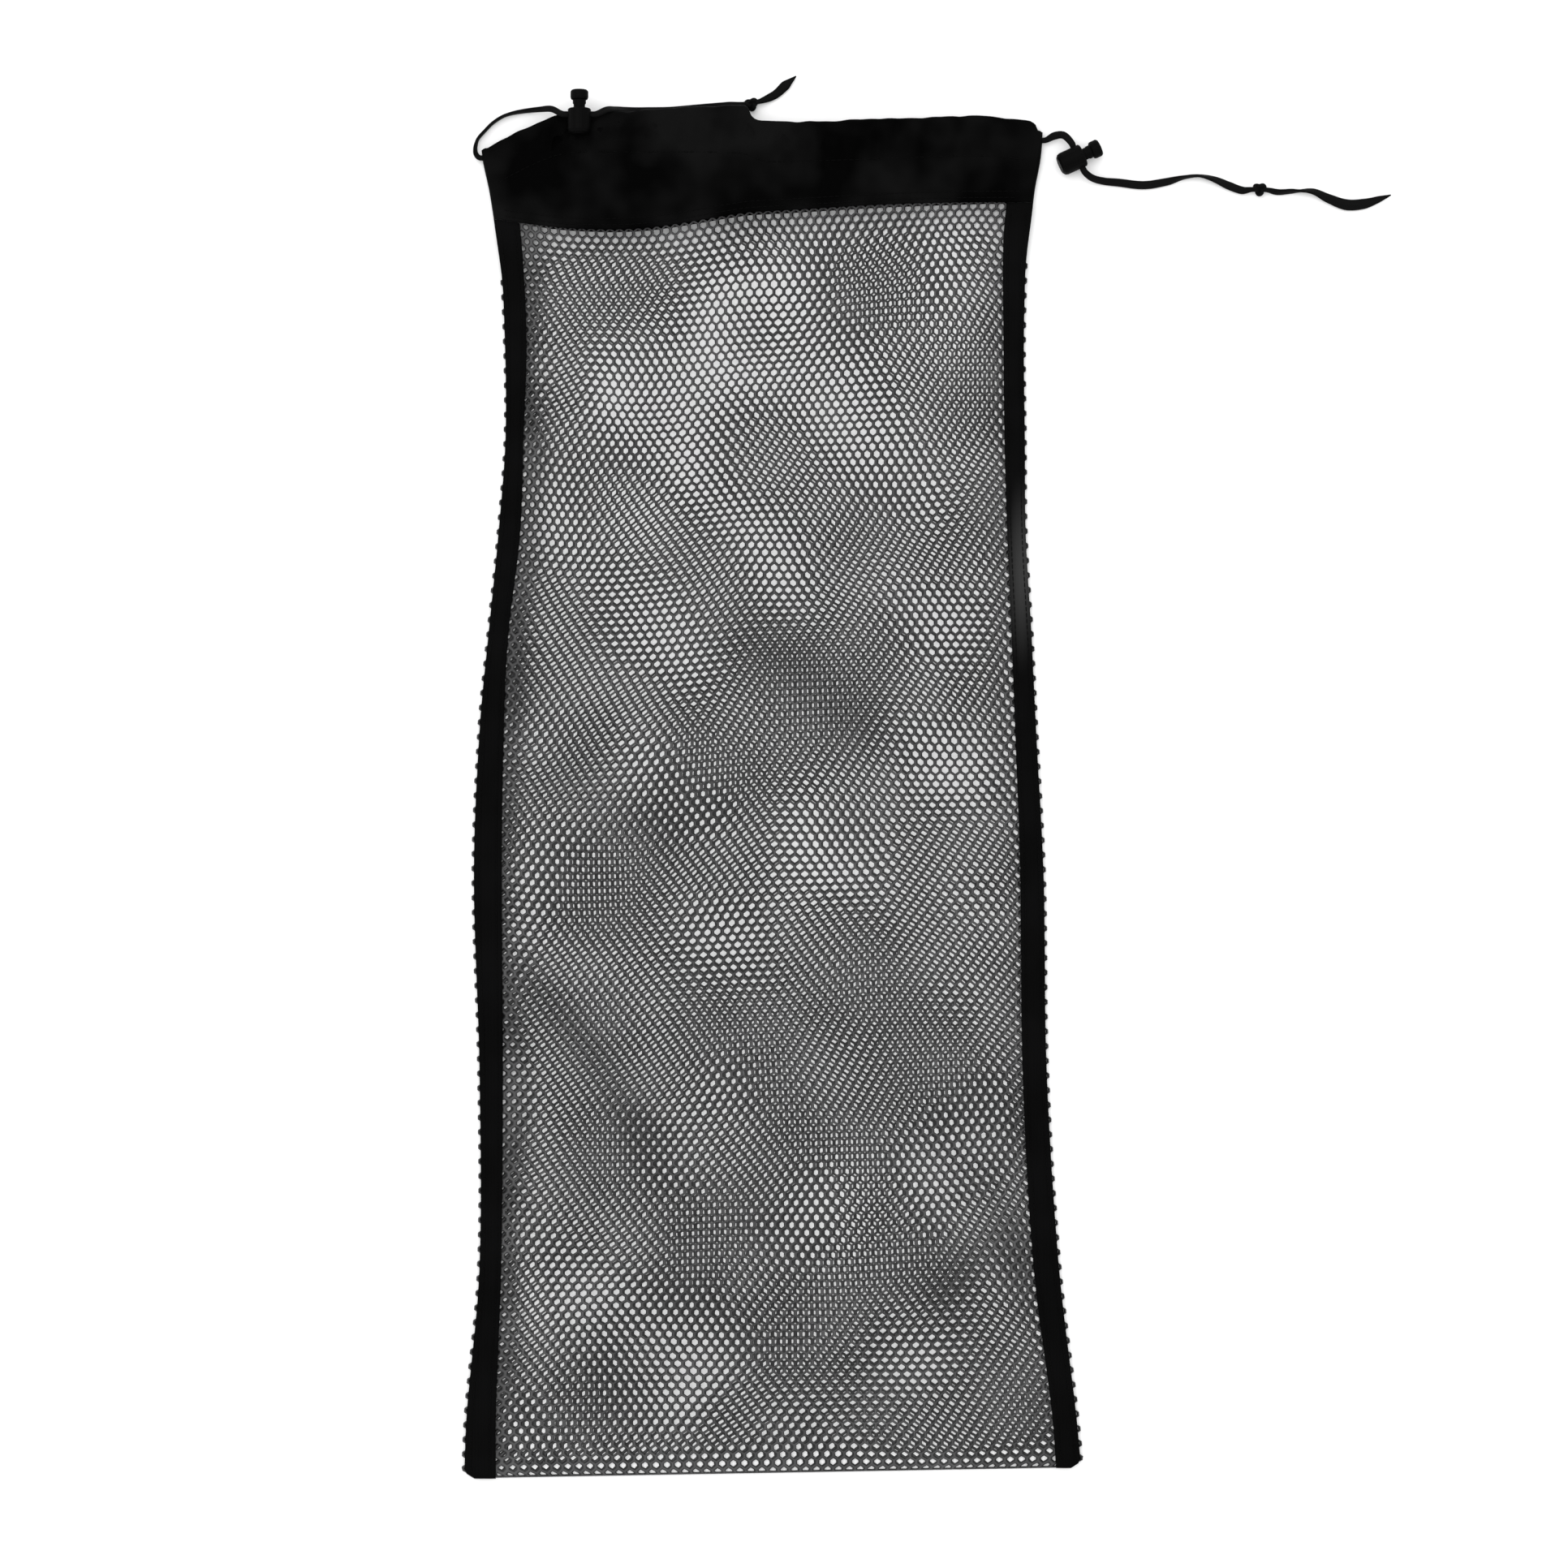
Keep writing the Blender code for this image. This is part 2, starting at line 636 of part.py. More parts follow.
def build_lock(hand):
    bore = STEM_RADIUS + STEM_CLEARANCE
    floor = -LOCK_BACK + LOCK_BOTTOM
    barrel = add_turned("cord_lock_" + hand, [
        (-LOCK_BACK, 0), (-LOCK_BACK, 0.72 * LOCK_RADIUS),
        (-LOCK_BACK + 0.16 * LOCK_RADIUS, 0.92 * LOCK_RADIUS),
        (-LOCK_BACK + 0.40 * LOCK_RADIUS, LOCK_RADIUS), (LOCK_RIM - LOCK_EDGE, LOCK_RADIUS),
        (LOCK_RIM, LOCK_RADIUS - LOCK_EDGE), (LOCK_RIM, bore), (floor, bore), (floor, 0),
    ], "lock_plastic")
    place_on(barrel, hand)
    hole = add_cylinder("cross_hole_cutter", CROSS_HOLE, 4 * LOCK_RADIUS, "Y")
    place_on(hole, hand)
    cut(barrel, hole)

    neck_end = LOCK_RIM + NECK
    head_end = neck_end + HEAD_LENGTH
    button = add_turned("lock_button_" + hand, [
        (-STEM_TAIL, 0), (-STEM_TAIL, STEM_RADIUS), (neck_end, STEM_RADIUS),
        (neck_end + 0.07 * HEAD_LENGTH, 0.92 * HEAD_RADIUS),
        (neck_end + 0.24 * HEAD_LENGTH, HEAD_RADIUS), (head_end - 0.2 * HEAD_LENGTH, HEAD_RADIUS),
        (head_end - 0.04 * HEAD_LENGTH, 0.86 * HEAD_RADIUS), (head_end, 0.62 * HEAD_RADIUS),
        (head_end, 0),
    ], "lock_plastic")
    place_on(button, hand)
    reach = 2 * STEM_RADIUS
    slot = add_block("stem_slot_cutter", (-SLOT_HALF, -reach, -SLOT_HALF),
                     (SLOT_HALF + PRESS_TRAVEL, reach, SLOT_HALF))
    place_on(slot, hand)
    cut(button, slot)


# Drawcords

def smooth_route(route):
    """Points at even spacing along a smooth curve through the route."""
    stops = [Vector(point) for point in route]
    ends = [2 * stops[0] - stops[1]] + stops + [2 * stops[-1] - stops[-2]]
    fine = []
    steps = 24
    for i in range(1, len(ends) - 2):
        a, b, c, d = ends[i - 1:i + 3]
        span = (c - b).length
        out = (c - a) * span / (span + (b - a).length)
        into = (d - b) * span / (span + (d - c).length)
        for k in range(steps):
            t = k / steps
            fine.append(
                (2 * t**3 - 3 * t**2 + 1) * b + (t**3 - 2 * t**2 + t) * out
                + (3 * t**2 - 2 * t**3) * c + (t**3 - t**2) * into
            )
    fine.append(stops[-1])
    lengths = [0.0]
    for a, b in zip(fine, fine[1:]):
        lengths.append(lengths[-1] + (b - a).length)
    count = max(round(lengths[-1] / CORD_SPACING), 3)
    points = []
    k = 0
    for i in range(count + 1):
        want = lengths[-1] * i / count
        while k < len(lengths) - 2 and lengths[k + 1] < want:
            k += 1
        share = (want - lengths[k]) / (lengths[k + 1] - lengths[k])
        points.append(fine[k].lerp(fine[k + 1], share))
    return points


def build_cord(name, route):
    curve = bpy.data.curves.new(name, "CURVE")
    curve.dimensions = "3D"
    curve.bevel_depth = CORD_RADIUS
    curve.bevel_resolution = 2
    curve.use_fill_caps = True
    points = smooth_route(route)
    spline = curve.splines.new("POLY")
    spline.points.add(len(points) - 1)
    for target, point in zip(spline.points, points):
        target.co = (*point, 1.0)
    thing = bpy.data.objects.new(name, curve)
    curve.materials.append(material("drawcord"))
    bpy.context.scene.collection.objects.link(thing)
    return thing


def build_knot(hand):
    """Overhand knot as a turned form with two lobes, along the cord."""
    along = Vector(TAIL_ROUTES[hand][0]) - Vector(ROUTES[hand][-1])
    half = KNOT_LENGTH / 2 - LAYER_GAP
    profile = [(-half, 0), (-half, 0.50 * KNOT_RADIUS), (-0.75 * half, 0.86 * KNOT_RADIUS),
               (-0.38 * half, KNOT_RADIUS), (0, 0.86 * KNOT_RADIUS), (0.38 * half, KNOT_RADIUS),
               (0.75 * half, 0.86 * KNOT_RADIUS), (half, 0.50 * KNOT_RADIUS), (half, 0)]
    knot = add_turned("knot_" + hand, profile, "drawcord")
    knot.location = KNOT_CENTRES[hand]
    knot.rotation_euler = (0, 0, math.atan2(along.y, along.x))


def main():
    for thing in list(bpy.data.objects):
        bpy.data.objects.remove(thing, do_unlink=True)
    build_net_back()
    build_net_front()
    build_tape("side_tape_left", -1)
    build_tape("side_tape_right", 1)
    build_casing()
    for hand in ("left", "right"):
        build_lock(hand)
        build_cord("drawcord_" + hand, ROUTES[hand])
        build_knot(hand)
        build_cord("cord_tail_" + hand, TAIL_ROUTES[hand])


main()
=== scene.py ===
import math

import bmesh
import bpy
import numpy as np
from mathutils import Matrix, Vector


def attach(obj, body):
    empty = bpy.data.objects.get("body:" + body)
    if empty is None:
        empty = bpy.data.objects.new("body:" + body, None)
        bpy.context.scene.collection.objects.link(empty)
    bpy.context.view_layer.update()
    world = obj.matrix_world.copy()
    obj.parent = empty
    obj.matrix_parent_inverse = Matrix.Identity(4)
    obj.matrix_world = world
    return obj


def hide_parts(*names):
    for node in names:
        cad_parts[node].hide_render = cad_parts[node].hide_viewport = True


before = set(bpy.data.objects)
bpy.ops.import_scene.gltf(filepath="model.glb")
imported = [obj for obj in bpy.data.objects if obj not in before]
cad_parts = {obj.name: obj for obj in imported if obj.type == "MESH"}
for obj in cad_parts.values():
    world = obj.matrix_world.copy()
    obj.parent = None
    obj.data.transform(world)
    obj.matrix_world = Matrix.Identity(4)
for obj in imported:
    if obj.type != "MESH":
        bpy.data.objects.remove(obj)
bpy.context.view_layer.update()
scene = bpy.context.scene
print("frame loaded")

# Camera straight above

view = {"lens": 85.0, "sensor": 36.0, "place": (0.0062, 0.0071, 2.087)}
cameraData = bpy.data.cameras.new("camera")
cameraData.lens = view["lens"]
cameraData.sensor_width = view["sensor"]
camera = bpy.data.objects.new("camera", cameraData)
camera.location = view["place"]
scene.collection.objects.link(camera)
scene.camera = camera
scene.view_settings.view_transform = "Standard"


def addMesh(name, points, faces, smooth=True):
    mesh = bpy.data.meshes.new(name)
    mesh.from_pydata([tuple(p) for p in points], [], faces)
    if smooth:
        mesh.shade_smooth()
    mesh.update()
    thing = bpy.data.objects.new(name, mesh)
    scene.collection.objects.link(thing)
    return thing


# Shader groups shared by the cloths

fibreNoise = {"detail": 3.0, "roughness": 0.65, "slowScale": 26.0, "slowDetail": 2.0,
              "slowEnds": (0.38, 0.64)}


def makeGroup(name, inputs, outputs):
    group = bpy.data.node_groups.new(name, "ShaderNodeTree")
    for socket, kind, value in inputs:
        made = group.interface.new_socket(socket, in_out="INPUT", socket_type=kind)
        if value is not None:
            made.default_value = value
    for socket, kind in outputs:
        group.interface.new_socket(socket, in_out="OUTPUT", socket_type=kind)
    return group, group.nodes.new("NodeGroupInput"), group.nodes.new("NodeGroupOutput")


def feed(tree, socket, value):
    # a socket takes a value of its own or another node's output
    if isinstance(value, bpy.types.NodeSocket):
        tree.links.new(value, socket)
    else:
        socket.default_value = value


def maths(tree, operation, *values):
    node = tree.nodes.new("ShaderNodeMath")
    node.operation = operation
    for socket, value in zip(node.inputs, values):
        feed(tree, socket, value)
    return node.outputs[0]


def noise(tree, vector, scale, detail, roughness=0.5):
    node = tree.nodes.new("ShaderNodeTexNoise")
    tree.links.new(vector, node.inputs["Vector"])
    for name, value in (("Scale", scale), ("Detail", detail), ("Roughness", roughness)):
        feed(tree, node.inputs[name], value)
    return node.outputs[0]


def mapRange(tree, value, fromEnds=(0.0, 1.0), toEnds=(0.0, 1.0), kind="LINEAR"):
    node = tree.nodes.new("ShaderNodeMapRange")
    node.interpolation_type = kind
    for name, end in zip(("From Min", "From Max", "To Min", "To Max"), fromEnds + toEnds):
        node.inputs[name].default_value = end
    tree.links.new(value, node.inputs["Value"])
    return node.outputs["Result"]


def mixColours(tree, share, first, second):
    node = tree.nodes.new("ShaderNodeMix")
    node.data_type = "RGBA"
    for name, value in (("Factor", share), ("A", first), ("B", second)):
        feed(tree, node.inputs[name], value)
    return node.outputs["Result"]


def crossing(tree, first, second):
    # two sets of rounded ribs, each over the other by turns
    sines = [maths(tree, "SINE", turns) for turns in (first, second)]
    ribs = [maths(tree, "ABSOLUTE", sine) for sine in sines]
    over = maths(tree, "GREATER_THAN", maths(tree, "MULTIPLY", *sines), 0.0)
    under = maths(tree, "SUBTRACT", 1.0, over)
    return maths(tree, "ADD", maths(tree, "MULTIPLY", ribs[0], over),
                 maths(tree, "MULTIPLY", ribs[1], under))


def weaveGroup():
    # warp and weft threads
    group, source, result = makeGroup(
        "woven threads",
        [("Vector", "NodeSocketVector", None), ("Threads per metre", "NodeSocketFloat", 1500.0),
         ("Twill", "NodeSocketFloat", 0.0)],
        [("Height", "NodeSocketFloat")],
    )
    split = group.nodes.new("ShaderNodeSeparateXYZ")
    group.links.new(source.outputs["Vector"], split.inputs[0])
    turns = maths(group, "MULTIPLY", source.outputs["Threads per metre"], math.pi)
    across = maths(group, "MULTIPLY", split.outputs[0], turns)
    along = maths(group, "MULTIPLY", split.outputs[1], turns)
    lean = maths(group, "ADD", across, maths(group, "MULTIPLY", along, source.outputs["Twill"]))
    group.links.new(crossing(group, lean, along), result.inputs["Height"])
    return group


def fibreGroup():
    # loose fibres, and the slow unevenness of dyed yarn
    group, source, result = makeGroup(
        "yarn fibres",
        [("Vector", "NodeSocketVector", None), ("Scale", "NodeSocketFloat", 900.0)],
        [("Height", "NodeSocketFloat"), ("Tone", "NodeSocketFloat")],
    )
    vector = source.outputs["Vector"]
    fine = noise(group, vector, source.outputs["Scale"], fibreNoise["detail"],
                 fibreNoise["roughness"])
    slow = noise(group, vector, fibreNoise["slowScale"], fibreNoise["slowDetail"])
    tone = mapRange(group, slow, fromEnds=fibreNoise["slowEnds"])
    group.links.new(fine, result.inputs["Height"])
    group.links.new(tone, result.inputs["Tone"])
    return group


def braidGroup():
    # diagonal plaits on a tube: U runs along in millimetres, V once round
    group, source, result = makeGroup(
        "braided plaits",
        [("Vector", "NodeSocketVector", None), ("Plaits per millimetre", "NodeSocketFloat", 0.9),
         ("Plaits round", "NodeSocketFloat", 8.0)],
        [("Height", "NodeSocketFloat")],
    )
    split = group.nodes.new("ShaderNodeSeparateXYZ")
    group.links.new(source.outputs["Vector"], split.inputs[0])
    along = maths(group, "MULTIPLY", split.outputs[0], source.outputs["Plaits per millimetre"])
    around = maths(group, "MULTIPLY", split.outputs[1], source.outputs["Plaits round"])
    right = maths(group, "MULTIPLY", maths(group, "ADD", along, around), math.pi)
    left = maths(group, "MULTIPLY", maths(group, "SUBTRACT", along, around), math.pi)
    group.links.new(crossing(group, right, left), result.inputs["Height"])
    return group


weave = weaveGroup()
fibre = fibreGroup()
braid = braidGroup()


def addGroup(tree, group, vector, **values):
    node = tree.nodes.new("ShaderNodeGroup")
    node.node_tree = group
    tree.links.new(vector, node.inputs["Vector"])
    for name, value in values.items():
        node.inputs[name.replace("_", " ")].default_value = value
    return node


def addBump(tree, shader, height, look):
    bump = tree.nodes.new("ShaderNodeBump")
    bump.inputs["Strength"].default_value = look["bump"]
    bump.inputs["Distance"].default_value = look["depth"]
    tree.links.new(height, bump.inputs["Height"])
    tree.links.new(bump.outputs["Normal"], shader.inputs["Normal"])


def addPaintedSheen(tree, vector, colour, paintedSheen):
    # a painted sheen: a soft lighter-grey patch painted into the colour where the cloth leans to
    # the light
    place = tree.nodes.new("ShaderNodeMapping")
    place.vector_type = "TEXTURE"
    place.inputs["Location"].default_value = paintedSheen["place"]
    place.inputs["Scale"].default_value = paintedSheen["reach"]
    tree.links.new(vector, place.inputs["Vector"])
    away = tree.nodes.new("ShaderNodeVectorMath")
    away.operation = "LENGTH"
    tree.links.new(place.outputs["Vector"], away.inputs[0])
    share = mapRange(tree, away.outputs["Value"], toEnds=(1.0, 0.0), kind="SMOOTHSTEP")
    return mixColours(tree, share, colour, (*paintedSheen["colour"], 1.0))


def newMaterial(name):
    made = bpy.data.materials.new(name)
    made.use_nodes = True
    tree = made.node_tree
    return made, tree, tree.nodes["Principled BSDF"]


def clothMaterial(look):
    # dyed cloth: colour drifts between two tones, weave and fibres raise the surface
    made, tree, shader = newMaterial(look["name"])
    coords = tree.nodes.new("ShaderNodeTexCoord")
    fibres = addGroup(tree, fibre, coords.outputs["Object"], Scale=look["fibreScale"])
    colour = mixColours(tree, fibres.outputs["Tone"], (*look["dark"], 1.0),
                        (*look["light"], 1.0))
    # where the look asks for it, a painted sheen patch is mixed into the colour
    if "paintedSheen" in look:
        colour = addPaintedSheen(tree, coords.outputs["Object"], colour, look["paintedSheen"])
    tree.links.new(colour, shader.inputs["Base Color"])
    if look["pattern"] == "braid":
        pattern = addGroup(tree, braid, coords.outputs["UV"],
                           Plaits_per_millimetre=look["pitch"], Plaits_round=look["around"])
    else:
        pattern = addGroup(tree, weave, coords.outputs["Object"],
                           Threads_per_metre=look["pitch"], Twill=look["twill"])
    fuzz = maths(tree, "MULTIPLY", fibres.outputs["Height"], look["fibreShare"])
    addBump(tree, shader, maths(tree, "ADD", pattern.outputs["Height"], fuzz), look)
    shader.inputs["Roughness"].default_value = look["roughness"]
    shader.inputs["Specular IOR Level"].default_value = look["specular"]
    return made


netLook = {
    "name": "net_yarn", "dark": (0.0430, 0.0430, 0.0437), "light": (0.0710, 0.0710, 0.0720),
    "pattern": "weave", "pitch": 2600.0, "twill": 0.6, "fibreScale": 1500.0, "fibreShare": 0.7,
    "bump": 0.5, "depth": 0.00012, "roughness": 0.55, "specular": 0.18,
}
tapeLook = {
    "name": "tape_webbing", "dark": (0.0006, 0.0006, 0.0006), "light": (0.0014, 0.0014, 0.0015),
    "pattern": "weave", "pitch": 1100.0, "twill": 1.0, "fibreScale": 1700.0, "fibreShare": 0.5,
    "bump": 0.6, "depth": 0.00020, "roughness": 0.62, "specular": 0.03,
    # painted sheen: a lighter patch on the right tape stands in for light caught there
    "paintedSheen": {"place": (0.140, 0.126, 0.0), "reach": (0.011, 0.060, 0.1),
              "colour": (0.0300, 0.0300, 0.0300)},
}
casingLook = {
    "name": "casing_cloth", "dark": (0.0002, 0.0002, 0.0002), "light": (0.0040, 0.0040, 0.0040),
    "pattern": "weave", "pitch": 2000.0, "twill": 0.0, "fibreScale": 1600.0, "fibreShare": 0.4,
    "bump": 0.4, "depth": 0.00014, "roughness": 0.36, "specular": 0.01,
}
threadLook = {
    "name": "sewing_thread", "dark": (0.0010, 0.0010, 0.0010), "light": (0.0022, 0.0022, 0.0022),
    "pattern": "weave", "pitch": 3600.0, "twill": 0.9, "fibreScale": 2500.0, "fibreShare": 0.4,
    "bump": 0.4, "depth": 0.00006, "roughness": 0.45, "specular": 0.03,
}
cordLook = {
    "name": "braided_cord", "dark": (0.0008, 0.0008, 0.0008), "light": (0.0020, 0.0020, 0.0020),
    "pattern": "braid", "pitch": 0.9, "around": 8.0, "fibreScale": 1800.0, "fibreShare": 0.35,
    "bump": 0.8, "depth": 0.00022, "roughness": 0.60, "specular": 0.06,
}
netYarn = clothMaterial(netLook)
tapeWebbing = clothMaterial(tapeLook)
casingCloth = clothMaterial(casingLook)
sewingThread = clothMaterial(threadLook)
braidedCord = clothMaterial(cordLook)
print("cloth materials made")

# Drawcords: one flat braid a side, from its hole in the casing to its cut tip

leftRoute = [
    (-0.1549, 0.3595, 0.0030), (-0.1618, 0.3595, 0.0030), (-0.1655, 0.3597, 0.0030),
    (-0.1676, 0.3632, 0.0023), (-0.1664, 0.3697, 0.0016), (-0.1621, 0.3749, 0.0016),
    (-0.1572, 0.3797, 0.0016), (-0.1502, 0.3837, 0.0016), (-0.1389, 0.3861, 0.0022),
    (-0.1302, 0.3863, 0.0060), (-0.1240, 0.3854, 0.0120), (-0.1178, 0.3818, 0.0168),
    (-0.1140, 0.3815, 0.0174), (-0.1024, 0.3815, 0.0174), (-0.0986, 0.3818, 0.0168),
    (-0.0930, 0.3848, 0.0135), (-0.0881, 0.3859, 0.0085), (-0.0812, 0.3862, 0.0034),
    (-0.0721, 0.3862, 0.0016), (-0.0584, 0.3864, 0.0016), (-0.0396, 0.3880, 0.0016),
    (-0.0240, 0.3892, 0.0019), (-0.0167, 0.3896, 0.0032), (-0.0121, 0.3904, 0.0034),
    (-0.0078, 0.3912, 0.0032), (-0.0021, 0.3936, 0.0019), (0.0021, 0.3960, 0.0016),
    (0.0071, 0.4007, 0.0016), (0.0130, 0.4058, 0.0016),
]
rightRoute = [
    (0.1420, 0.3694, 0.0030), (0.1495, 0.3694, 0.0030), (0.1535, 0.3695, 0.0031),
    (0.1582, 0.3716, 0.0046), (0.1632, 0.3718, 0.0060), (0.1676, 0.3676, 0.0065),
    (0.1694, 0.3636, 0.0065), (0.1734, 0.3550, 0.0065), (0.1752, 0.3511, 0.0065),
    (0.1796, 0.3479, 0.0050), (0.1865, 0.3465, 0.0022), (0.1943, 0.3458, 0.0016),
    (0.2089, 0.3444, 0.0016), (0.2222, 0.3463, 0.0016), (0.2309, 0.3485, 0.0016),
    (0.2396, 0.3495, 0.0016), (0.2483, 0.3476, 0.0016), (0.2570, 0.3440, 0.0016),
    (0.2643, 0.3414, 0.0020), (0.2693, 0.3417, 0.0032), (0.2739, 0.3417, 0.0034),
    (0.2785, 0.3414, 0.0032), (0.2849, 0.3403, 0.0019), (0.2922, 0.3408, 0.0016),
    (0.3037, 0.3408, 0.0016), (0.3124, 0.3371, 0.0016), (0.3229, 0.3334, 0.0016),
    (0.3330, 0.3339, 0.0016), (0.3417, 0.3366, 0.0016), (0.3481, 0.3389, 0.0016),
]
# stop on the route, width and thickness in millimetres, twist in degrees from lying flat
leftSections = [
    (0, 3.0, 2.2, 0), (2, 3.0, 2.2, 20), (3, 4.0, 1.9, 70), (4, 4.4, 1.7, 88), (7, 4.4, 1.7, 90),
    (9, 4.0, 1.9, 60), (11, 3.4, 2.3, 15), (14, 3.4, 2.3, 0), (16, 4.4, 1.8, -40),
    (18, 4.6, 1.8, -20), (21, 4.4, 1.8, 0), (22, 2.8, 2.0, 0), (24, 2.8, 2.0, 0),
    (25, 4.4, 1.8, 10), (27, 5.5, 1.4, 0), (28, 0.7, 0.7, -10),
]
rightSections = [
    (0, 3.0, 2.2, 0), (2, 3.2, 2.2, 10), (3, 4.4, 1.9, 15), (4, 4.2, 2.0, 15), (6, 3.4, 2.3, 0),
    (7, 3.4, 2.3, 0), (9, 4.2, 1.9, 35), (11, 4.6, 1.8, 20), (12, 4.7, 1.7, 0),
    (13, 4.6, 1.8, 30), (14, 4.5, 1.8, 78), (15, 4.5, 1.8, 100), (16, 4.6, 1.8, 140),
    (17, 4.8, 1.7, 175), (18, 4.4, 1.9, 180), (19, 2.8, 2.0, 180), (21, 2.8, 2.0, 200),
    (22, 4.2, 1.9, 235), (23, 4.5, 1.8, 250), (24, 4.6, 1.8, 320), (25, 5.4, 1.6, 350),
    (26, 6.3, 1.4, 360), (27, 5.8, 1.4, 368), (28, 3.6, 1.2, 375), (29, 0.7, 0.7, 380),
]
# the two powers square the braid's section across its width and its height
cordShape = {"step": 0.0011, "fine": 24, "ring": 16, "width": 0.0046, "floor": 0.0003,
             "squareWide": 0.75, "squareHigh": 0.85}


def hermite(a, out, b, into, t):
    # smooth curve from a to b with a given slope at each end
    return ((2 * t**3 - 3 * t**2 + 1) * a + (t**3 - 2 * t**2 + t) * out
            + (3 * t**2 - 2 * t**3) * b + (t**3 - t**2) * into)


def runLengths(points):
    # length from the first point to each
    steps = np.linalg.norm(np.diff(points, axis=0), axis=1)
    return np.concatenate([[0], np.cumsum(steps)])


def smoothRoute(stops):
    # points at an even step along a smooth curve, and the length at each stop
    stops = [Vector(p) for p in stops]
    ends = [2 * stops[0] - stops[1]] + stops + [2 * stops[-1] - stops[-2]]
    fine, marks = [], [0]
    for i in range(1, len(ends) - 2):
        a, b, c, d = ends[i - 1:i + 3]
        span = (c - b).length
        out = (c - a) * span / (span + (b - a).length)
        into = (d - b) * span / (span + (d - c).length)
        for k in range(cordShape["fine"]):
            fine.append(hermite(b, out, c, into, k / cordShape["fine"]))
        marks.append(len(fine))
    fine = np.array(fine + [stops[-1]])
    lengths = runLengths(fine)
    places = np.linspace(0, lengths[-1], round(lengths[-1] / cordShape["step"]) + 1)
    points = np.stack([np.interp(places, lengths, fine[:, i]) for i in range(3)], axis=1)
    return points, places, lengths[marks]


def ringFaces(rows, ring, first=0, closed=False):
    # quads between the rings of a tube, and a lid on each end of an open one
    faces = []
    for i in range(rows if closed else rows - 1):
        n = (i + 1) % rows
        for k in range(ring):
            m = (k + 1) % ring
            faces.append([first + i * ring + k, first + i * ring + m,
                          first + n * ring + m, first + n * ring + k])
    if not closed:
        faces.append([first + k for k in reversed(range(ring))])
        faces.append([first + (rows - 1) * ring + k for k in range(ring)])
    return faces


def addTube(name, points, places, widths, thicks, twists, closed=False):
    # braid with a squared section swept along the points; UV: millimetres along, once round
    ring = cordShape["ring"]
    angles = np.linspace(0, math.tau, ring, endpoint=False)
    sideways = np.sign(np.cos(angles)) * np.abs(np.cos(angles)) ** cordShape["squareWide"]
    upright = np.sign(np.sin(angles)) * np.abs(np.sin(angles)) ** cordShape["squareHigh"]
    ways = np.roll(points, -1, axis=0) - np.roll(points, 1, axis=0)
    if not closed:
        ways[0], ways[-1] = points[1] - points[0], points[-1] - points[-2]
    ways /= np.linalg.norm(ways, axis=1)[:, None]
    verts = []
    for point, way, width, thick, twist in zip(points, ways, widths, thicks, twists):
        level = np.cross((0, 0, 1), way)
        level /= max(np.linalg.norm(level), 1e-6)
        up = np.cross(way, level)
        turn = math.radians(twist)
        wide = level * math.cos(turn) + up * math.sin(turn)
        deep = up * math.cos(turn) - level * math.sin(turn)
        for s, u in zip(sideways, upright):
            verts.append(point + wide * s * width / 2 + deep * u * thick / 2)
    tube = addMesh(name, verts, ringFaces(len(points), ring, closed=closed))
    layer = tube.data.uv_layers.new(name="along_round")
    for face in tube.data.polygons:
        start = face.vertices[0] // ring
        for loop in face.loop_indices:
            vertex = tube.data.loops[loop].vertex_index
            i, k = divmod(vertex, ring)
            v = k / ring
            if len(face.vertices) == 4 and k == 0 and face.vertices[1] % ring == 0:
                v = 1.0
            along = places[i] if not closed or i >= start else places[-1] + places[1]
            layer.data[loop].uv = (along * 1000, v)
    tube.data.materials.append(braidedCord)
    return tube


def makeCord(name, route, sections):
    points, places, marks = smoothRoute(route)
    at = [marks[row[0]] for row in sections]
    widths, thicks, twists = (np.interp(places, at, [row[i] for row in sections])
                              for i in (1, 2, 3))
    widths, thicks = widths / 1000, thicks / 1000
    # a braid on its edge stands on the floor, so its middle rises with its width
    turn = np.radians(twists)
    half = (np.abs(np.sin(turn)) * widths + np.abs(np.cos(turn)) * thicks) / 2
    points[:, 2] = np.maximum(points[:, 2], half + cordShape["floor"])
    cord = addTube(name, points, places, widths, thicks, twists)
    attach(cord, "bag")
    return cord, points, places[-1]


leftCord, leftPath, leftLength = makeCord("drawcord_braid_left", leftRoute, leftSections)
rightCord, rightPath, rightLength = makeCord("drawcord_braid_right", rightRoute, rightSections)
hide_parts("drawcord_left", "cord_tail_left")
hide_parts("drawcord_right", "cord_tail_right")

knotShape = {"long": 0.001044, "wide": 0.00098, "high": 0.00095, "width": 0.0024,
             "thick": 0.0017, "roll": 40.0, "points": 90}


def makeKnot(name, centre, degrees):
    # overhand knot pulled up: a squeezed trefoil of the same braid
    turn = math.radians(degrees)
    count = knotShape["points"]
    points = []
    for t in np.linspace(0, math.tau, count, endpoint=False):
        x = (math.sin(t) + 2 * math.sin(2 * t)) * knotShape["long"]
        y = (math.cos(t) - 2 * math.cos(2 * t)) * knotShape["wide"]
        z = -math.sin(3 * t) * knotShape["high"]
        points.append((centre[0] + x * math.cos(turn) - y * math.sin(turn),
                       centre[1] + x * math.sin(turn) + y * math.cos(turn), centre[2] + z))
    points = np.array(points)
    rolls = knotShape["roll"] * np.sin(np.linspace(0, 2 * math.tau, count, endpoint=False))
    knot = addTube(name, points, runLengths(points), np.full(count, knotShape["width"]),
                   np.full(count, knotShape["thick"]), rolls, closed=True)
    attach(knot, "bag")
    return knot


leftKnot = makeKnot("overhand_knot_left", (-0.0121, 0.3897, 0.0034), 10)
rightKnot = makeKnot("overhand_knot_right", (0.2739, 0.3419, 0.0034), -2)
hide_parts("knot_left")
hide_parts("knot_right")
print("cords laid")

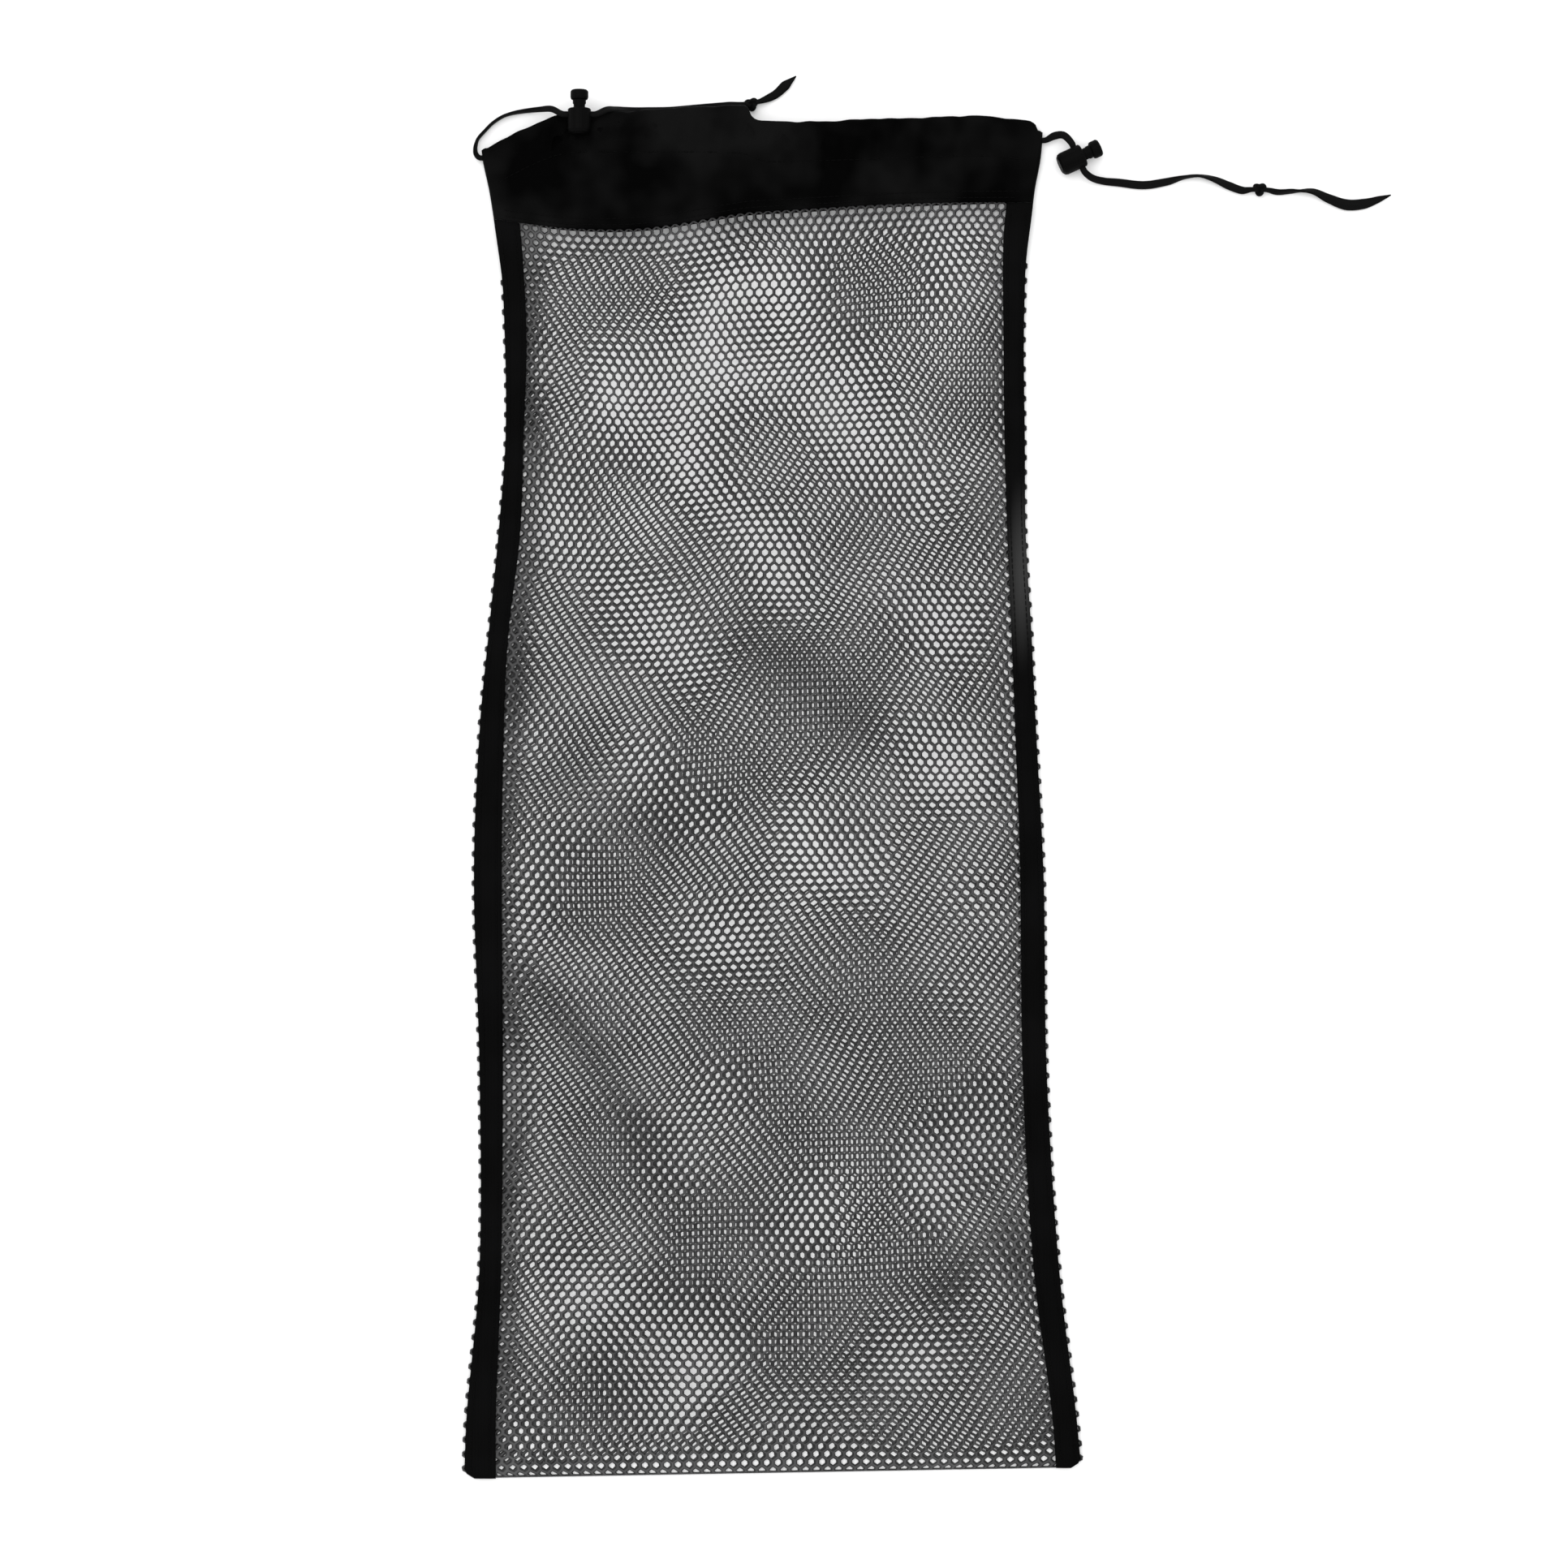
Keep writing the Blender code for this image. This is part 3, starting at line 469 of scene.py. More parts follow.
# Shape of the bag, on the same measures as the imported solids

# rows and thirds of a row say where the nets rise from the fold and to the band
bag = {
    "length": 0.762, "width": 0.352, "wall": 0.0010, "gap": 0.0003, "rise": 0.0098,
    "waveHeight": 0.0008, "waveLength": 0.210, "waveSlant": 0.074, "foldHeight": 0.0018,
    "foldWidth": 0.014, "corner": 0.007, "slant": 0.0030, "rows": 11, "power": 3.5,
    "footThirds": 8, "frontThirds": 4, "backThirds": 1, "lead": 0.002, "tapeWidth": 0.014,
    "selvage": 0.0025, "casing": 0.055, "mouthRise": 0.0062, "slack": 0.0011, "tuck": 0.010,
    "hem": 0.024, "hemInset": 0.012, "channel": 0.0006, "bulge": 0.0025, "roof": 0.0032,
}
# along in lengths, edges in half widths, tapes in tape widths
outline = [
    (-0.500, -1.000, 1.000, 1.25, 1.00), (-0.456, -0.992, 0.982, 1.15, 0.95),
    (-0.347, -0.951, 0.927, 0.85, 1.00), (-0.203, -0.951, 0.888, 0.92, 0.95),
    (-0.059, -0.969, 0.878, 1.10, 0.92), (0.049, -0.951, 0.854, 0.95, 0.82),
    (0.121, -0.922, 0.839, 0.78, 0.78), (0.193, -0.891, 0.821, 0.85, 0.72),
    (0.265, -0.868, 0.818, 0.70, 0.80), (0.337, -0.870, 0.815, 0.85, 0.80),
    (0.409, -0.885, 0.823, 0.85, 0.92), (0.445, -0.906, 0.836, 0.85, 0.90),
    (0.472, -0.930, 0.857, 0.85, 0.90), (0.500, -0.938, 0.865, 0.85, 0.90),
]
# across from -1 to 1, mouth above its straight line and lower edge below it, in bands
casingEdges = [
    (-1.00, -0.291, 1.024), (-0.93, -0.180, 1.057), (-0.72, 0.035, 1.130), (-0.45, 0.050, 1.130),
    (-0.07, 0.036, 0.977), (0.00, -0.036, 0.962), (0.12, -0.045, 0.945), (0.46, -0.015, 0.890),
    (0.81, 0.022, 0.857), (0.94, -0.002, 0.850), (0.985, -0.025, 0.849), (1.00, -0.110, 0.849),
]
# soft folds: both ends across and along, rise and width as shares of the named ones
folds = [
    (-0.86, -0.125, -0.39, -0.255, -0.90, 1.10), (-0.40, -0.260, -0.05, -0.300, 0.70, 1.50),
    (0.84, -0.320, 0.55, -0.380, 0.95, 0.90), (0.60, -0.360, 0.48, -0.440, -0.70, 1.00),
    (0.36, 0.090, 0.80, 0.010, 0.80, 1.00), (-0.85, 0.040, -0.35, 0.110, -0.80, 1.20),
    (0.20, 0.370, 0.55, 0.290, 0.70, 1.20), (-0.70, 0.330, -0.35, 0.220, 0.60, 1.30),
]


def sampled(rows, count=900):
    # smooth curve through each column of a table, sampled closely
    places = [row[0] for row in rows]
    at = np.linspace(places[0], places[-1], count)
    columns = []
    for values in list(zip(*rows))[1:]:
        slopes = []
        for k in range(len(rows)):
            low, high = max(k - 1, 0), min(k + 1, len(rows) - 1)
            slopes.append((values[high] - values[low]) / (places[high] - places[low]))
        curve = []
        for place in at:
            i = int(np.searchsorted(places, place, side="left")) - 1
            i = max(min(i, len(rows) - 2), 0)
            step = places[i + 1] - places[i]
            curve.append(hermite(values[i], step * slopes[i], values[i + 1],
                                 step * slopes[i + 1], (place - places[i]) / step))
        columns.append(np.array(curve))
    return at, columns


outlineAt, outlineColumns = sampled(outline)
casingAt, casingColumns = sampled(casingEdges)


def edgesAt(y):
    along = y / bag["length"]
    left, right, leftTape, rightTape = (np.interp(along, outlineAt, c) for c in outlineColumns)
    left, right = left * bag["width"] / 2, right * bag["width"] / 2
    return (left, right, left + bag["selvage"] + leftTape * bag["tapeWidth"],
            right - bag["selvage"] - rightTape * bag["tapeWidth"])


def mouthLine(across):
    return bag["length"] / 2 + np.interp(across, casingAt, casingColumns[0]) * bag["casing"]


def casingLow(across):
    return bag["length"] / 2 - np.interp(across, casingAt, casingColumns[1]) * bag["casing"]


def footLine(across):
    return -bag["length"] / 2 + bag["slant"] * across


def blend(a, b, t):
    return a + (b - a) * t


def acrossAt(x, y):
    left, right = edgesAt(y)[:2]
    share = (x - left - bag["bulge"]) / (right - left - 2 * bag["bulge"])
    return 2 * np.clip(share, 0, 1) - 1


def softRamp(row, thirds):
    # from 0 to 1 over that many thirds of a row, up to the top row
    t = np.clip(1 - 3 * (bag["rows"] - row) / thirds, 0, 1)
    return t * t * (3 - 2 * t)


def awayFrom(x, y, startX, startY, endX, endY):
    # distance in plan from the line between two places
    runX, runY = endX - startX, endY - startY
    t = np.clip(((x - startX) * runX + (y - startY) * runY) / (runX**2 + runY**2), 0, 1)
    return np.hypot(x - startX - runX * t, y - startY - runY * t)


def foldHeight(side, y):
    height = bag["waveHeight"] * np.sin(math.tau * (y + bag["waveSlant"] * side)
                                        / bag["waveLength"])
    half, length = bag["width"] / 2, bag["length"]
    for across0, along0, across1, along1, rise, width in folds:
        away = awayFrom(side * half, y, across0 * half, along0 * length, across1 * half,
                        along1 * length) / (width * bag["foldWidth"])
        height = height + rise * bag["foldHeight"] * np.exp(-away * away)
    return height


seamFront = bag["wall"] + bag["gap"]
casingSeamFront = 2 * seamFront + bag["slack"]


def rowAt(across, y):
    # rows up the net, 0 at the first above the fold
    start = footLine(across) + bag["corner"]
    top = casingLow(across) - bag["lead"]
    return (y - start) / (top - start) * (bag["rows"] + 1) - 1


def sideOf(x, left, right):
    # -1 at the left edge and 1 at the right one
    return np.clip(2 * (x - left) / (right - left) - 1, -1, 1)


def frontLow(x, y):
    # underside of the front net at a place in plan
    side = sideOf(x, *edgesAt(y)[2:])
    row = rowAt(side, y)
    climb = softRamp(row, bag["frontThirds"])
    seam = blend(seamFront, casingSeamFront, climb)
    fromFold = np.clip(3 * (row + 1) / bag["footThirds"], 0, 1)
    body = (bag["rise"] + foldHeight(side, y)) * (1 - (1 - fromFold) ** 2)
    hump = 1 - np.abs(side) ** bag["power"]
    return seam + blend(body, bag["mouthRise"], climb) * hump


def backLow(x, y):
    side = sideOf(x, *edgesAt(y)[:2])
    return seamFront * softRamp(rowAt(side, y), bag["backThirds"])


def cornerInset(y, across):
    # how far a bottom corner is rounded in
    up = np.clip(y - footLine(across), 0, bag["corner"])
    return bag["corner"] - np.sqrt(bag["corner"]**2 - (bag["corner"] - up) ** 2)


# Net panels: staggered six-sided cells, with a bar where two yarns run together up the bag

# bars and legs in shares of a column or row step, calm margins in steps
netShape = {
    "columns": 55, "rows": 174, "bar": 0.50, "barHalf": 0.155, "legHalf": 0.132, "edge": 0.0036,
    "topInset": 0.0012, "topLead": 0.25, "topShort": 0.001, "footUp": 0.0002, "foot": 0.25,
    "holeFoot": 0.06, "holeHeight": 0.30, "calmSides": 4, "calmFoot": 4, "calmTop": 8,
}
# waves: size, turns a metre across and along, phase; both layers share these
clothWaves = {
    "x": [(0.0009, 2.3, 3.9, 0.4), (0.0006, -6.2, 5.1, 1.9), (0.0003, 11.3, 8.9, 3.0)],
    "y": [(0.0012, 3.1, 2.2, 1.2), (0.0007, 6.4, -5.3, 1.1), (0.0003, -9.0, 12.8, 2.0)],
}
# the back layer also slips under the front one, which draws the light and dark patches
frontNet = {"name": "net_front_knit", "low": 0.00010, "high": 0.00074, "shift": (0.0, 0.0),
            "slipX": [], "slipY": []}
backNet = {
    "name": "net_back_knit", "low": 0.00006, "high": 0.00070, "shift": (0.0, 0.0021),
    "slipX": [(0.0018, 1.7, 0.3, -0.05), (0.0007, 5.7, 6.4, 0.7), (0.0004, -10.1, 7.2, 4.4)],
    "slipY": [(0.0009, -2.4, 3.3, 0.3), (0.0008, 4.6, -6.3, 2.9), (0.0005, 9.5, 8.3, 4.0)],
}
openness = {"slope": 0.06, "left": 0.30, "right": 0.08, "seamWidth": 1.8, "seamFrom": 2.0,
            "foot": 0.16, "footHeight": 0.010}
# both ends of a crease or a slack patch, share by which openings close there, width
strained = [
    (-0.143, -0.095, -0.070, -0.192, 0.09, 0.010), (0.132, -0.246, 0.095, -0.283, 0.09, 0.009),
    (0.141, -0.266, 0.140, -0.260, 0.13, 0.014), (0.093, -0.200, 0.128, -0.232, 0.06, 0.008),
    (0.040, -0.222, 0.036, -0.246, -0.06, 0.026), (0.018, -0.028, 0.020, -0.056, -0.05, 0.022),
    (0.085, 0.262, 0.096, 0.244, -0.04, 0.020), (-0.086, 0.166, -0.070, 0.150, -0.04, 0.018),
    (-0.141, -0.268, -0.139, -0.290, -0.06, 0.013), (0.003, 0.320, 0.006, 0.240, -0.03, 0.009),
    (-0.020, 0.090, 0.050, 0.030, 0.05, 0.018), (-0.120, 0.010, -0.060, -0.020, 0.05, 0.016),
]


def openingScales(y, u):
    # along a row, openings widen up the bag and close beside the seams and at the bottom fold
    columns = netShape["columns"]
    left, right = edgesAt(y)[:2]
    x = blend(left, right, u / columns)
    seam = np.minimum(u, columns - u) - openness["seamFrom"]
    seam = np.maximum(seam, 0) / openness["seamWidth"]
    up = (y - footLine(0)) / openness["footHeight"]
    scale = 1 + openness["slope"] * y / bag["length"]
    scale *= 1 - openness["foot"] * np.exp(-up * up)
    beside = np.where(u < columns / 2, openness["left"], openness["right"])
    scale = scale * (1 - beside * np.exp(-seam * seam))
    for *ends, close, width in strained:
        away = awayFrom(x, y, *ends) / width
        scale = scale * (1 - close * np.exp(-away * away))
    return scale


def cellCorners():
    # ridge and hole corners from the middle of a cell, in columns and rows
    bar = netShape["bar"]            # share of a row step that the upright bar takes
    tip = 1 - bar / 2
    slope = (tip - bar / 2) / 0.5
    inX = 0.5 - netShape["barHalf"]
    tipIn = tip - netShape["legHalf"] * math.hypot(1, slope)
    inY = tipIn - inX * slope
    ridge = [(0, -tip), (0.5, -bar / 2), (0.5, bar / 2), (0, tip), (-0.5, bar / 2),
             (-0.5, -bar / 2)]
    hole = [(0, -tipIn), (inX, -inY), (inX, inY), (0, tipIn), (-inX, inY), (-inX, -inY)]
    return ridge, hole


def netCells():
    # every cell owns six hole corners and shares six ridge nodes with its neighbours
    columns, rows = netShape["columns"], netShape["rows"]
    ridgeCorners, holeCorners = cellCorners()
    places, kinds, faces = [], [], []
    ridgeNodes, lowNodes, edges, around = {}, {}, {}, {}

    def node(nodes, key, place, kind):
        if key not in nodes:
            nodes[key] = len(places)
            places.append(place)
            kinds.append(kind)
        return nodes[key]

    for row in range(rows):
        odd = row % 2
        rowY = blend(footLine(0), casingLow(0), (row + 0.5) / rows)
        scales = openingScales(rowY, np.arange(columns + odd) + (1 - odd) / 2)
        for i in range(columns + odd):
            u = i + (1 - odd) / 2
            ridge = [node(ridgeNodes, (round(2 * (u + a)), round(100 * (row + b))),
                          (u + a, row + b), "ridge") for a, b in ridgeCorners]
            hole = list(range(len(places), len(places) + 6))
            places += [(u + a * scales[i], row + b * scales[i]) for a, b in holeCorners]
            kinds += ["hole"] * 6
            for k in range(6):
                n = (k + 1) % 6
                faces.append([ridge[k], ridge[n], hole[n], hole[k]])
                pair = (min(ridge[k], ridge[n]), max(ridge[k], ridge[n]))
                edges.setdefault(pair, []).append((ridge[k], hole[k], hole[n]))
                around.setdefault(ridge[k], []).append(hole[k])

    def low(index):
        return node(lowNodes, index, places[index], "low")

    # undersides: between two cells, along the panel's own edge, and where three bars meet
    for (a, b), users in edges.items():
        start, p, q = users[0]
        if len(users) == 2:
            faces.append([q, p, users[1][2], users[1][1]])
        else:
            end = b if start == a else a
            faces.append([q, p, low(start), low(end)])
            faces.append([end, start, low(start), low(end)])
    for index, holes in around.items():
        if len(holes) == 3:
            faces.append(holes)
        elif len(holes) == 2:
            faces.append([holes[0], holes[1], low(index)])
    return np.array(places).T, np.array(kinds), faces


def wavesAt(waves, x, y):
    return sum(size * np.sin(math.tau * (x * turnsX + y * turnsY) + phase)
               for size, turnsX, turnsY, phase in waves)


def faceOutwards(thing):
    work = bmesh.new()
    work.from_mesh(thing.data)
    bmesh.ops.recalc_face_normals(work, faces=work.faces)
    work.to_mesh(thing.data)
    work.free()


(netColumns, netRows), netKinds, netFaces = netCells()


def makeNet(net, lowAt):
    columns, rows, foot = netShape["columns"], netShape["rows"], netShape["foot"]
    u, isHole = netColumns, netKinds == "hole"
    v = np.maximum(netRows, np.where(isHole, -netShape["holeFoot"], -foot))  # a straight fold
    side = np.clip(2 * u / columns - 1, -1, 1)
    top = casingLow(side) + bag["tuck"] - netShape["topShort"]
    y = blend(footLine(side) + netShape["footUp"], top, (v + foot) / rows)
    climb = softRamp(rowAt(side, y) + netShape["topLead"], 1)
    inset = cornerInset(y, side) + (bag["bulge"] + netShape["topInset"]) * climb
    left, right = edgesAt(y)[:2]
    inset = inset + netShape["edge"]
    x = blend(left + inset, right - inset, u / columns)
    calm = (np.clip(np.minimum(u, columns - u) / netShape["calmSides"], 0, 1)
            * np.clip((v + foot) / netShape["calmFoot"], 0, 1)
            * np.clip((rows - v) / netShape["calmTop"], 0, 1))
    x, y = (x + calm * (net["shift"][0] + wavesAt(clothWaves["x"] + net["slipX"], x, y)),
            y + calm * (net["shift"][1] + wavesAt(clothWaves["y"] + net["slipY"], x, y)))
    rim = blend(net["low"], net["high"], netShape["holeHeight"])
    height = np.select([netKinds == "ridge", isHole], [net["high"], rim], net["low"])
    points = np.stack([x, y, lowAt(x, y) + height], axis=1)
    panel = addMesh(net["name"], points, netFaces)
    faceOutwards(panel)
    panel.data.materials.append(netYarn)
    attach(panel, "bag")
    print(net["name"], np.count_nonzero(isHole) // 6, "cells")
    return panel


frontPanel = makeNet(frontNet, frontLow)
backPanel = makeNet(backNet, backLow)
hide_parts("net_front")
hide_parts("net_back")

# Side tapes

tapeShape = {
    "wall": 0.00095, "rows": 260, "across": 9, "outside": 0.0022, "outsideTop": 0.0002,
    "footUp": 0.0001, "roll": 0.35, "rollPower": 6, "ripple": 0.00018, "longWave": 0.047,
    "shortWave": 0.021, "shortShare": 0.6, "phase": 2.1,
}


def tapeEdges(hand, y):
    left, right, leftInner, rightInner = edgesAt(y)
    sides = np.full_like(y, hand)
    outside = blend(tapeShape["outside"], tapeShape["outsideTop"], softRamp(rowAt(sides, y), 2))
    outside = outside + cornerInset(y, sides)
    return (left + outside, leftInner) if hand < 0 else (rightInner, right - outside)


def tapeHeight(hand, y, share):
    climb = softRamp(rowAt(np.full_like(y, hand), y), bag["frontThirds"])
    level = blend(seamFront, casingSeamFront, climb) + bag["wall"] + bag["gap"]
    wave = np.sin(math.tau * y / tapeShape["longWave"] + tapeShape["phase"] * hand)
    wave += tapeShape["shortShare"] * np.sin(math.tau * y / tapeShape["shortWave"] + share)
    return level + tapeShape["ripple"] * (1 + wave) * share


def makeTape(name, hand):
    count, across, wall = tapeShape["rows"], tapeShape["across"], tapeShape["wall"]
    low = footLine(hand) + tapeShape["footUp"]
    under, over = [], []
    for k in range(across):
        s = 0.5 - 0.5 * math.cos(math.pi * k / (across - 1))
        top = casingLow(hand)
        for _ in range(3):            # the tape's own top follows the band's lower edge
            a, b = tapeEdges(hand, np.array([top]))
            top = casingLow(acrossAt(blend(a, b, s), np.array([top])))[0]
        y = np.linspace(low, top - bag["gap"], count)
        x = blend(*tapeEdges(hand, y), s)
        roll = tapeShape["roll"] * abs(2 * s - 1) ** tapeShape["rollPower"]
        base = tapeHeight(hand, y, s if hand > 0 else 1 - s)
        under += zip(x, y, base + wall * roll)
        over += zip(x, y, base + wall * (1 - roll))

    def at(layer, k, i):
        return layer * across * count + k * count + i

    faces = []
    for i in range(count - 1):
        for k in range(across - 1):
            faces.append([at(0, k, i), at(0, k, i + 1), at(0, k + 1, i + 1), at(0, k + 1, i)])
            faces.append([at(1, k, i), at(1, k + 1, i), at(1, k + 1, i + 1), at(1, k, i + 1)])
        for k in (0, across - 1):
            faces.append([at(0, k, i), at(1, k, i), at(1, k, i + 1), at(0, k, i + 1)])
    for i in (0, count - 1):
        for k in range(across - 1):
            faces.append([at(0, k, i), at(0, k + 1, i), at(1, k + 1, i), at(1, k, i)])
    tape = addMesh(name, under + over, faces)
    faceOutwards(tape)
    tape.data.materials.append(tapeWebbing)
    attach(tape, "bag")
    return tape


leftTape = makeTape("seam_tape_left", -1)
rightTape = makeTape("seam_tape_right", 1)
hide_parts("side_tape_left")
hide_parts("side_tape_right")
print("tapes laid")

# Casing: one strip of cloth round the mouth, folded in at the top to make the cord's channel

# wrinkles: size, length across and down the band; roughWaves: size, turns, phase
casingShape = {
    "front": 161, "back": 61, "gather": 0.00120, "gatherAt": 0.010, "gatherReach": 0.016,
    "fullness": 1.2, "underShare": 0.8, "endPower": 8, "sway": 1.7, "swayLength": 0.07,
    "twist": 4500.0, "wrinkles": [(1.0, 0.041, 0.030), (0.7, 0.019, -0.017),
                                  (0.35, 0.0091, 0.043)],
    "crease": 0.0006, "creaseAt": 0.030, "creaseReach": 0.0022, "creaseSway": 0.004,
    "creaseLength": 0.09, "overhang": 0.0050, "overhangFrom": -0.62, "overhangTo": -0.052,
    "overhangStep": 0.03, "overhangPower": 1.3, "rough": 0.00022,
    "roughWaves": [(1.0, 17, 1.0), (1.0, 41, 0.0), (0.6, 83, 0.0)],
}


def casingFront(layer, x, y):
    # height of a layer of the band's front: gathers under the mouth, and one crease across
    shape = casingShape
    side = sideOf(x, *edgesAt(y)[2:])
    inner = casingSeamFront + bag["mouthRise"] * (1 - abs(side) ** bag["power"])
    inner += bag["wall"] + bag["gap"]
    depth = mouthLine(acrossAt(x, y)) - y
    bends = (shape["sway"] * math.sin(math.tau * x / shape["swayLength"]),
             shape["twist"] * x * depth, 0.0)
    ripple = sum(size * math.sin(math.tau * (x / across + depth / down) + bend)
                 for (size, across, down), bend in zip(shape["wrinkles"], bends))
    puff = shape["gather"] * math.exp(-((depth - shape["gatherAt"]) / shape["gatherReach"]) ** 2)
    creaseAt = (shape["creaseAt"]
                + shape["creaseSway"] * math.sin(math.tau * x / shape["creaseLength"]))
    crease = shape["crease"] * math.exp(-((depth - creaseAt) / shape["creaseReach"]) ** 2)
    rise = (puff * (shape["fullness"] + ripple) + crease) * (1 - abs(side) ** shape["endPower"])
    return (inner + bag["wall"] + rise, inner + rise * shape["underShare"],
            inner - bag["channel"], inner - bag["channel"] - bag["wall"])[layer]


# four layers, from the outside of the band to the inside of its hem
casingBack = (0.0, bag["wall"], bag["wall"] + bag["channel"], 2 * bag["wall"] + bag["channel"])
shoulders = (bag["bulge"], bag["bulge"], bag["hemInset"], bag["hemInset"])
capBulges = (bag["bulge"], bag["bulge"] - bag["wall"], bag["wall"] + bag["gap"], bag["gap"])
capAngles = (25.0, 50.0, 75.0, 105.0, 130.0, 155.0)


def casingPoint(layer, part, value, level):
    # value is the share across a flat part, or degrees round a rolled side
    flat = part in ("front", "back")
    across = 2 * value - 1 if flat else (1.0 if part == "right" else -1.0)
    y = float(level(across, part))
    left, right = edgesAt(y)[:2]
    lowX, highX = left + shoulders[layer], right - shoulders[layer]
    back = casingBack[layer]
    if flat:
        x = blend(lowX, highX, value)
        return Vector((x, y, casingFront(layer, x, y) if part == "front" else back))
    x = highX if part == "right" else lowX
    front = casingFront(layer, x, y)
    angle = math.radians(value)
    out = capBulges[layer] * math.sin(angle)
    height = blend(back, front, 0.5 + 0.5 * math.cos(angle))
    return Vector((x + out if part == "right" else x - out, y, height))


def frontMouth(across):
    # left of the knot the front layer slips forward over the cord, and ends there in a step
    start, end = casingShape["overhangFrom"], casingShape["overhangTo"]
    t = (across - start) / (end - start)
    if t < 1:
        slip = max(t, 0.0) ** casingShape["overhangPower"]
    else:
        slip = max(1 - (t - 1) / casingShape["overhangStep"], 0.0)
    rough = sum(size * math.sin(turns * across + phase)
                for size, turns, phase in casingShape["roughWaves"])
    return mouthLine(across) + casingShape["overhang"] * slip + casingShape["rough"] * rough


def makeCasing():
    def mouth(across, part):
        return (frontMouth if part == "front" else mouthLine)(across)

    def under(depth):
        return lambda across, part: mouth(across, part) - depth

    def between(share):
        return lambda across, part: blend(casingLow(across), mouth(across, part), share)

    # up the outside, over the lip, down the hem, and back up and down inside it:
    # layer, layer to lean to, share of the way there, level
    wall, hem, roof = bag["wall"], bag["hem"], bag["roof"]
    dip = 0.15 * wall
    profile = [(0, 0, 0.0, between(share)) for share in (
        0.0, 0.02, 0.10, 0.2, 0.3, 0.38, 0.46, 0.54, 0.62, 0.70, 0.78, 0.85, 0.91)]
    profile.append((0, 0, 0.0, under(1.4 * wall)))
    profile += [(0, 3, share, under(drop * dip)) for share, drop in (
        (0.12, 2.5), (0.3, 0.6), (0.5, 0.0), (0.7, 0.6), (0.88, 2.5))]
    profile += [(3, 3, 0.0, under(depth)) for depth in (1.4 * wall, 0.5 * hem, hem)]
    profile += [(2, 2, 0.0, under(depth)) for depth in (hem, 0.5 * hem, roof)]
    profile.append((1, 1, 0.0, under(roof)))
    profile += [(1, 1, 0.0, between(share)) for share in (0.6, 0.35, 0.15, 0.0)]
    stations = [("front", i / (casingShape["front"] - 1)) for i in range(casingShape["front"])]
    stations += [("right", angle) for angle in capAngles]
    stations += [("back", 1 - i / (casingShape["back"] - 1)) for i in range(casingShape["back"])]
    stations += [("left", angle) for angle in reversed(capAngles)]
    points, faces = [], []
    for part, value in stations:
        for first, second, share, level in profile:
            a = casingPoint(first, part, value, level)
            b = casingPoint(second, part, value, level) if share else a
            points.append(a.lerp(b, share))
    size = len(profile)
    for i in range(len(stations)):
        n = (i + 1) % len(stations)
        for j in range(size):
            k = (j + 1) % size
            faces.append([i * size + j, n * size + j, n * size + k, i * size + k])
    casing = addMesh("casing_cloth", points, faces)
    faceOutwards(casing)
    casing.data.materials.append(casingCloth)
    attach(casing, "bag")
    return casing


casing = makeCasing()
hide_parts("casing")
print("casing sewn")

# Stitching on the tapes and the casing

# bend: share along a stitch, lift in radii; rows: distance from the band's edge
stitchShape = {
    "pitch": 0.0034, "long": 0.0027, "radius": 0.00024, "ring": 6,
    "bend": ((0.0, -0.9), (0.18, 0.35), (0.5, 0.75), (0.82, 0.35), (1.0, -0.9)),
    "tapeShares": (0.2, 0.8), "aboveFoot": 0.004, "belowBand": 0.003,
    "lowRows": (0.0025, 0.0060), "hemRow": -0.0225, "bandEnds": (0.015, 0.985),
}


def addStitches(name, lines):
    # each stitch is a short bent thread, sunk at both ends
    points, faces = [], []
    ring, radius, bend = stitchShape["ring"], stitchShape["radius"], stitchShape["bend"]
    for line in lines:
        lengths = runLengths(line)
        for i in range(int(lengths[-1] / stitchShape["pitch"])):
            start = i * stitchShape["pitch"]
            ends = [np.array([np.interp(start + stitchShape["long"] * t, lengths, line[:, c])
                              for c in range(3)]) for t in (0, 1)]
            way = ends[1] - ends[0]
            way /= max(np.linalg.norm(way), 1e-9)
            level = np.cross((0, 0, 1), way)
            level /= max(np.linalg.norm(level), 1e-9)
            up = np.cross(way, level)
            faces += ringFaces(len(bend), ring, first=len(points))
            for share, lift in bend:
                centre = blend(ends[0], ends[1], share) + up * lift * radius
                for angle in np.linspace(0, math.tau, ring, endpoint=False):
                    points.append(centre + (level * math.cos(angle) + up * math.sin(angle))
                                  * radius)
    made = addMesh(name, points, faces)
    made.data.materials.append(sewingThread)
    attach(made, "bag")
    return made


def tapeLine(hand, share):
    y = np.linspace(footLine(hand) + stitchShape["aboveFoot"],
                    casingLow(hand) - stitchShape["belowBand"], 240)
    z = tapeHeight(hand, y, share if hand > 0 else 1 - share) + tapeShape["wall"]
    return np.stack([blend(*tapeEdges(hand, y), share), y, z], axis=1)


def casingLine(edge, offset):
    def level(across, part):
        return edge(across) + offset

    return np.array([casingPoint(0, "front", value, level)
                     for value in np.linspace(*stitchShape["bandEnds"], 160)])


addStitches("tape_stitches", [tapeLine(hand, share) for hand in (-1, 1)
                              for share in stitchShape["tapeShares"]])
addStitches("casing_stitches", [casingLine(casingLow, row) for row in stitchShape["lowRows"]]
            + [casingLine(mouthLine, stitchShape["hemRow"])])
print("stitches set")

# Cord locks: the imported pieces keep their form

plasticLook = {
    "name": "moulded_plastic", "dark": (0.0005, 0.0005, 0.0005), "light": (0.0014, 0.0014, 0.0014),
    "grain": 1400.0, "scuff": 90.0, "bump": 0.35, "depth": 0.00005, "roughness": (0.42, 0.58),
    "specular": 0.03,
}


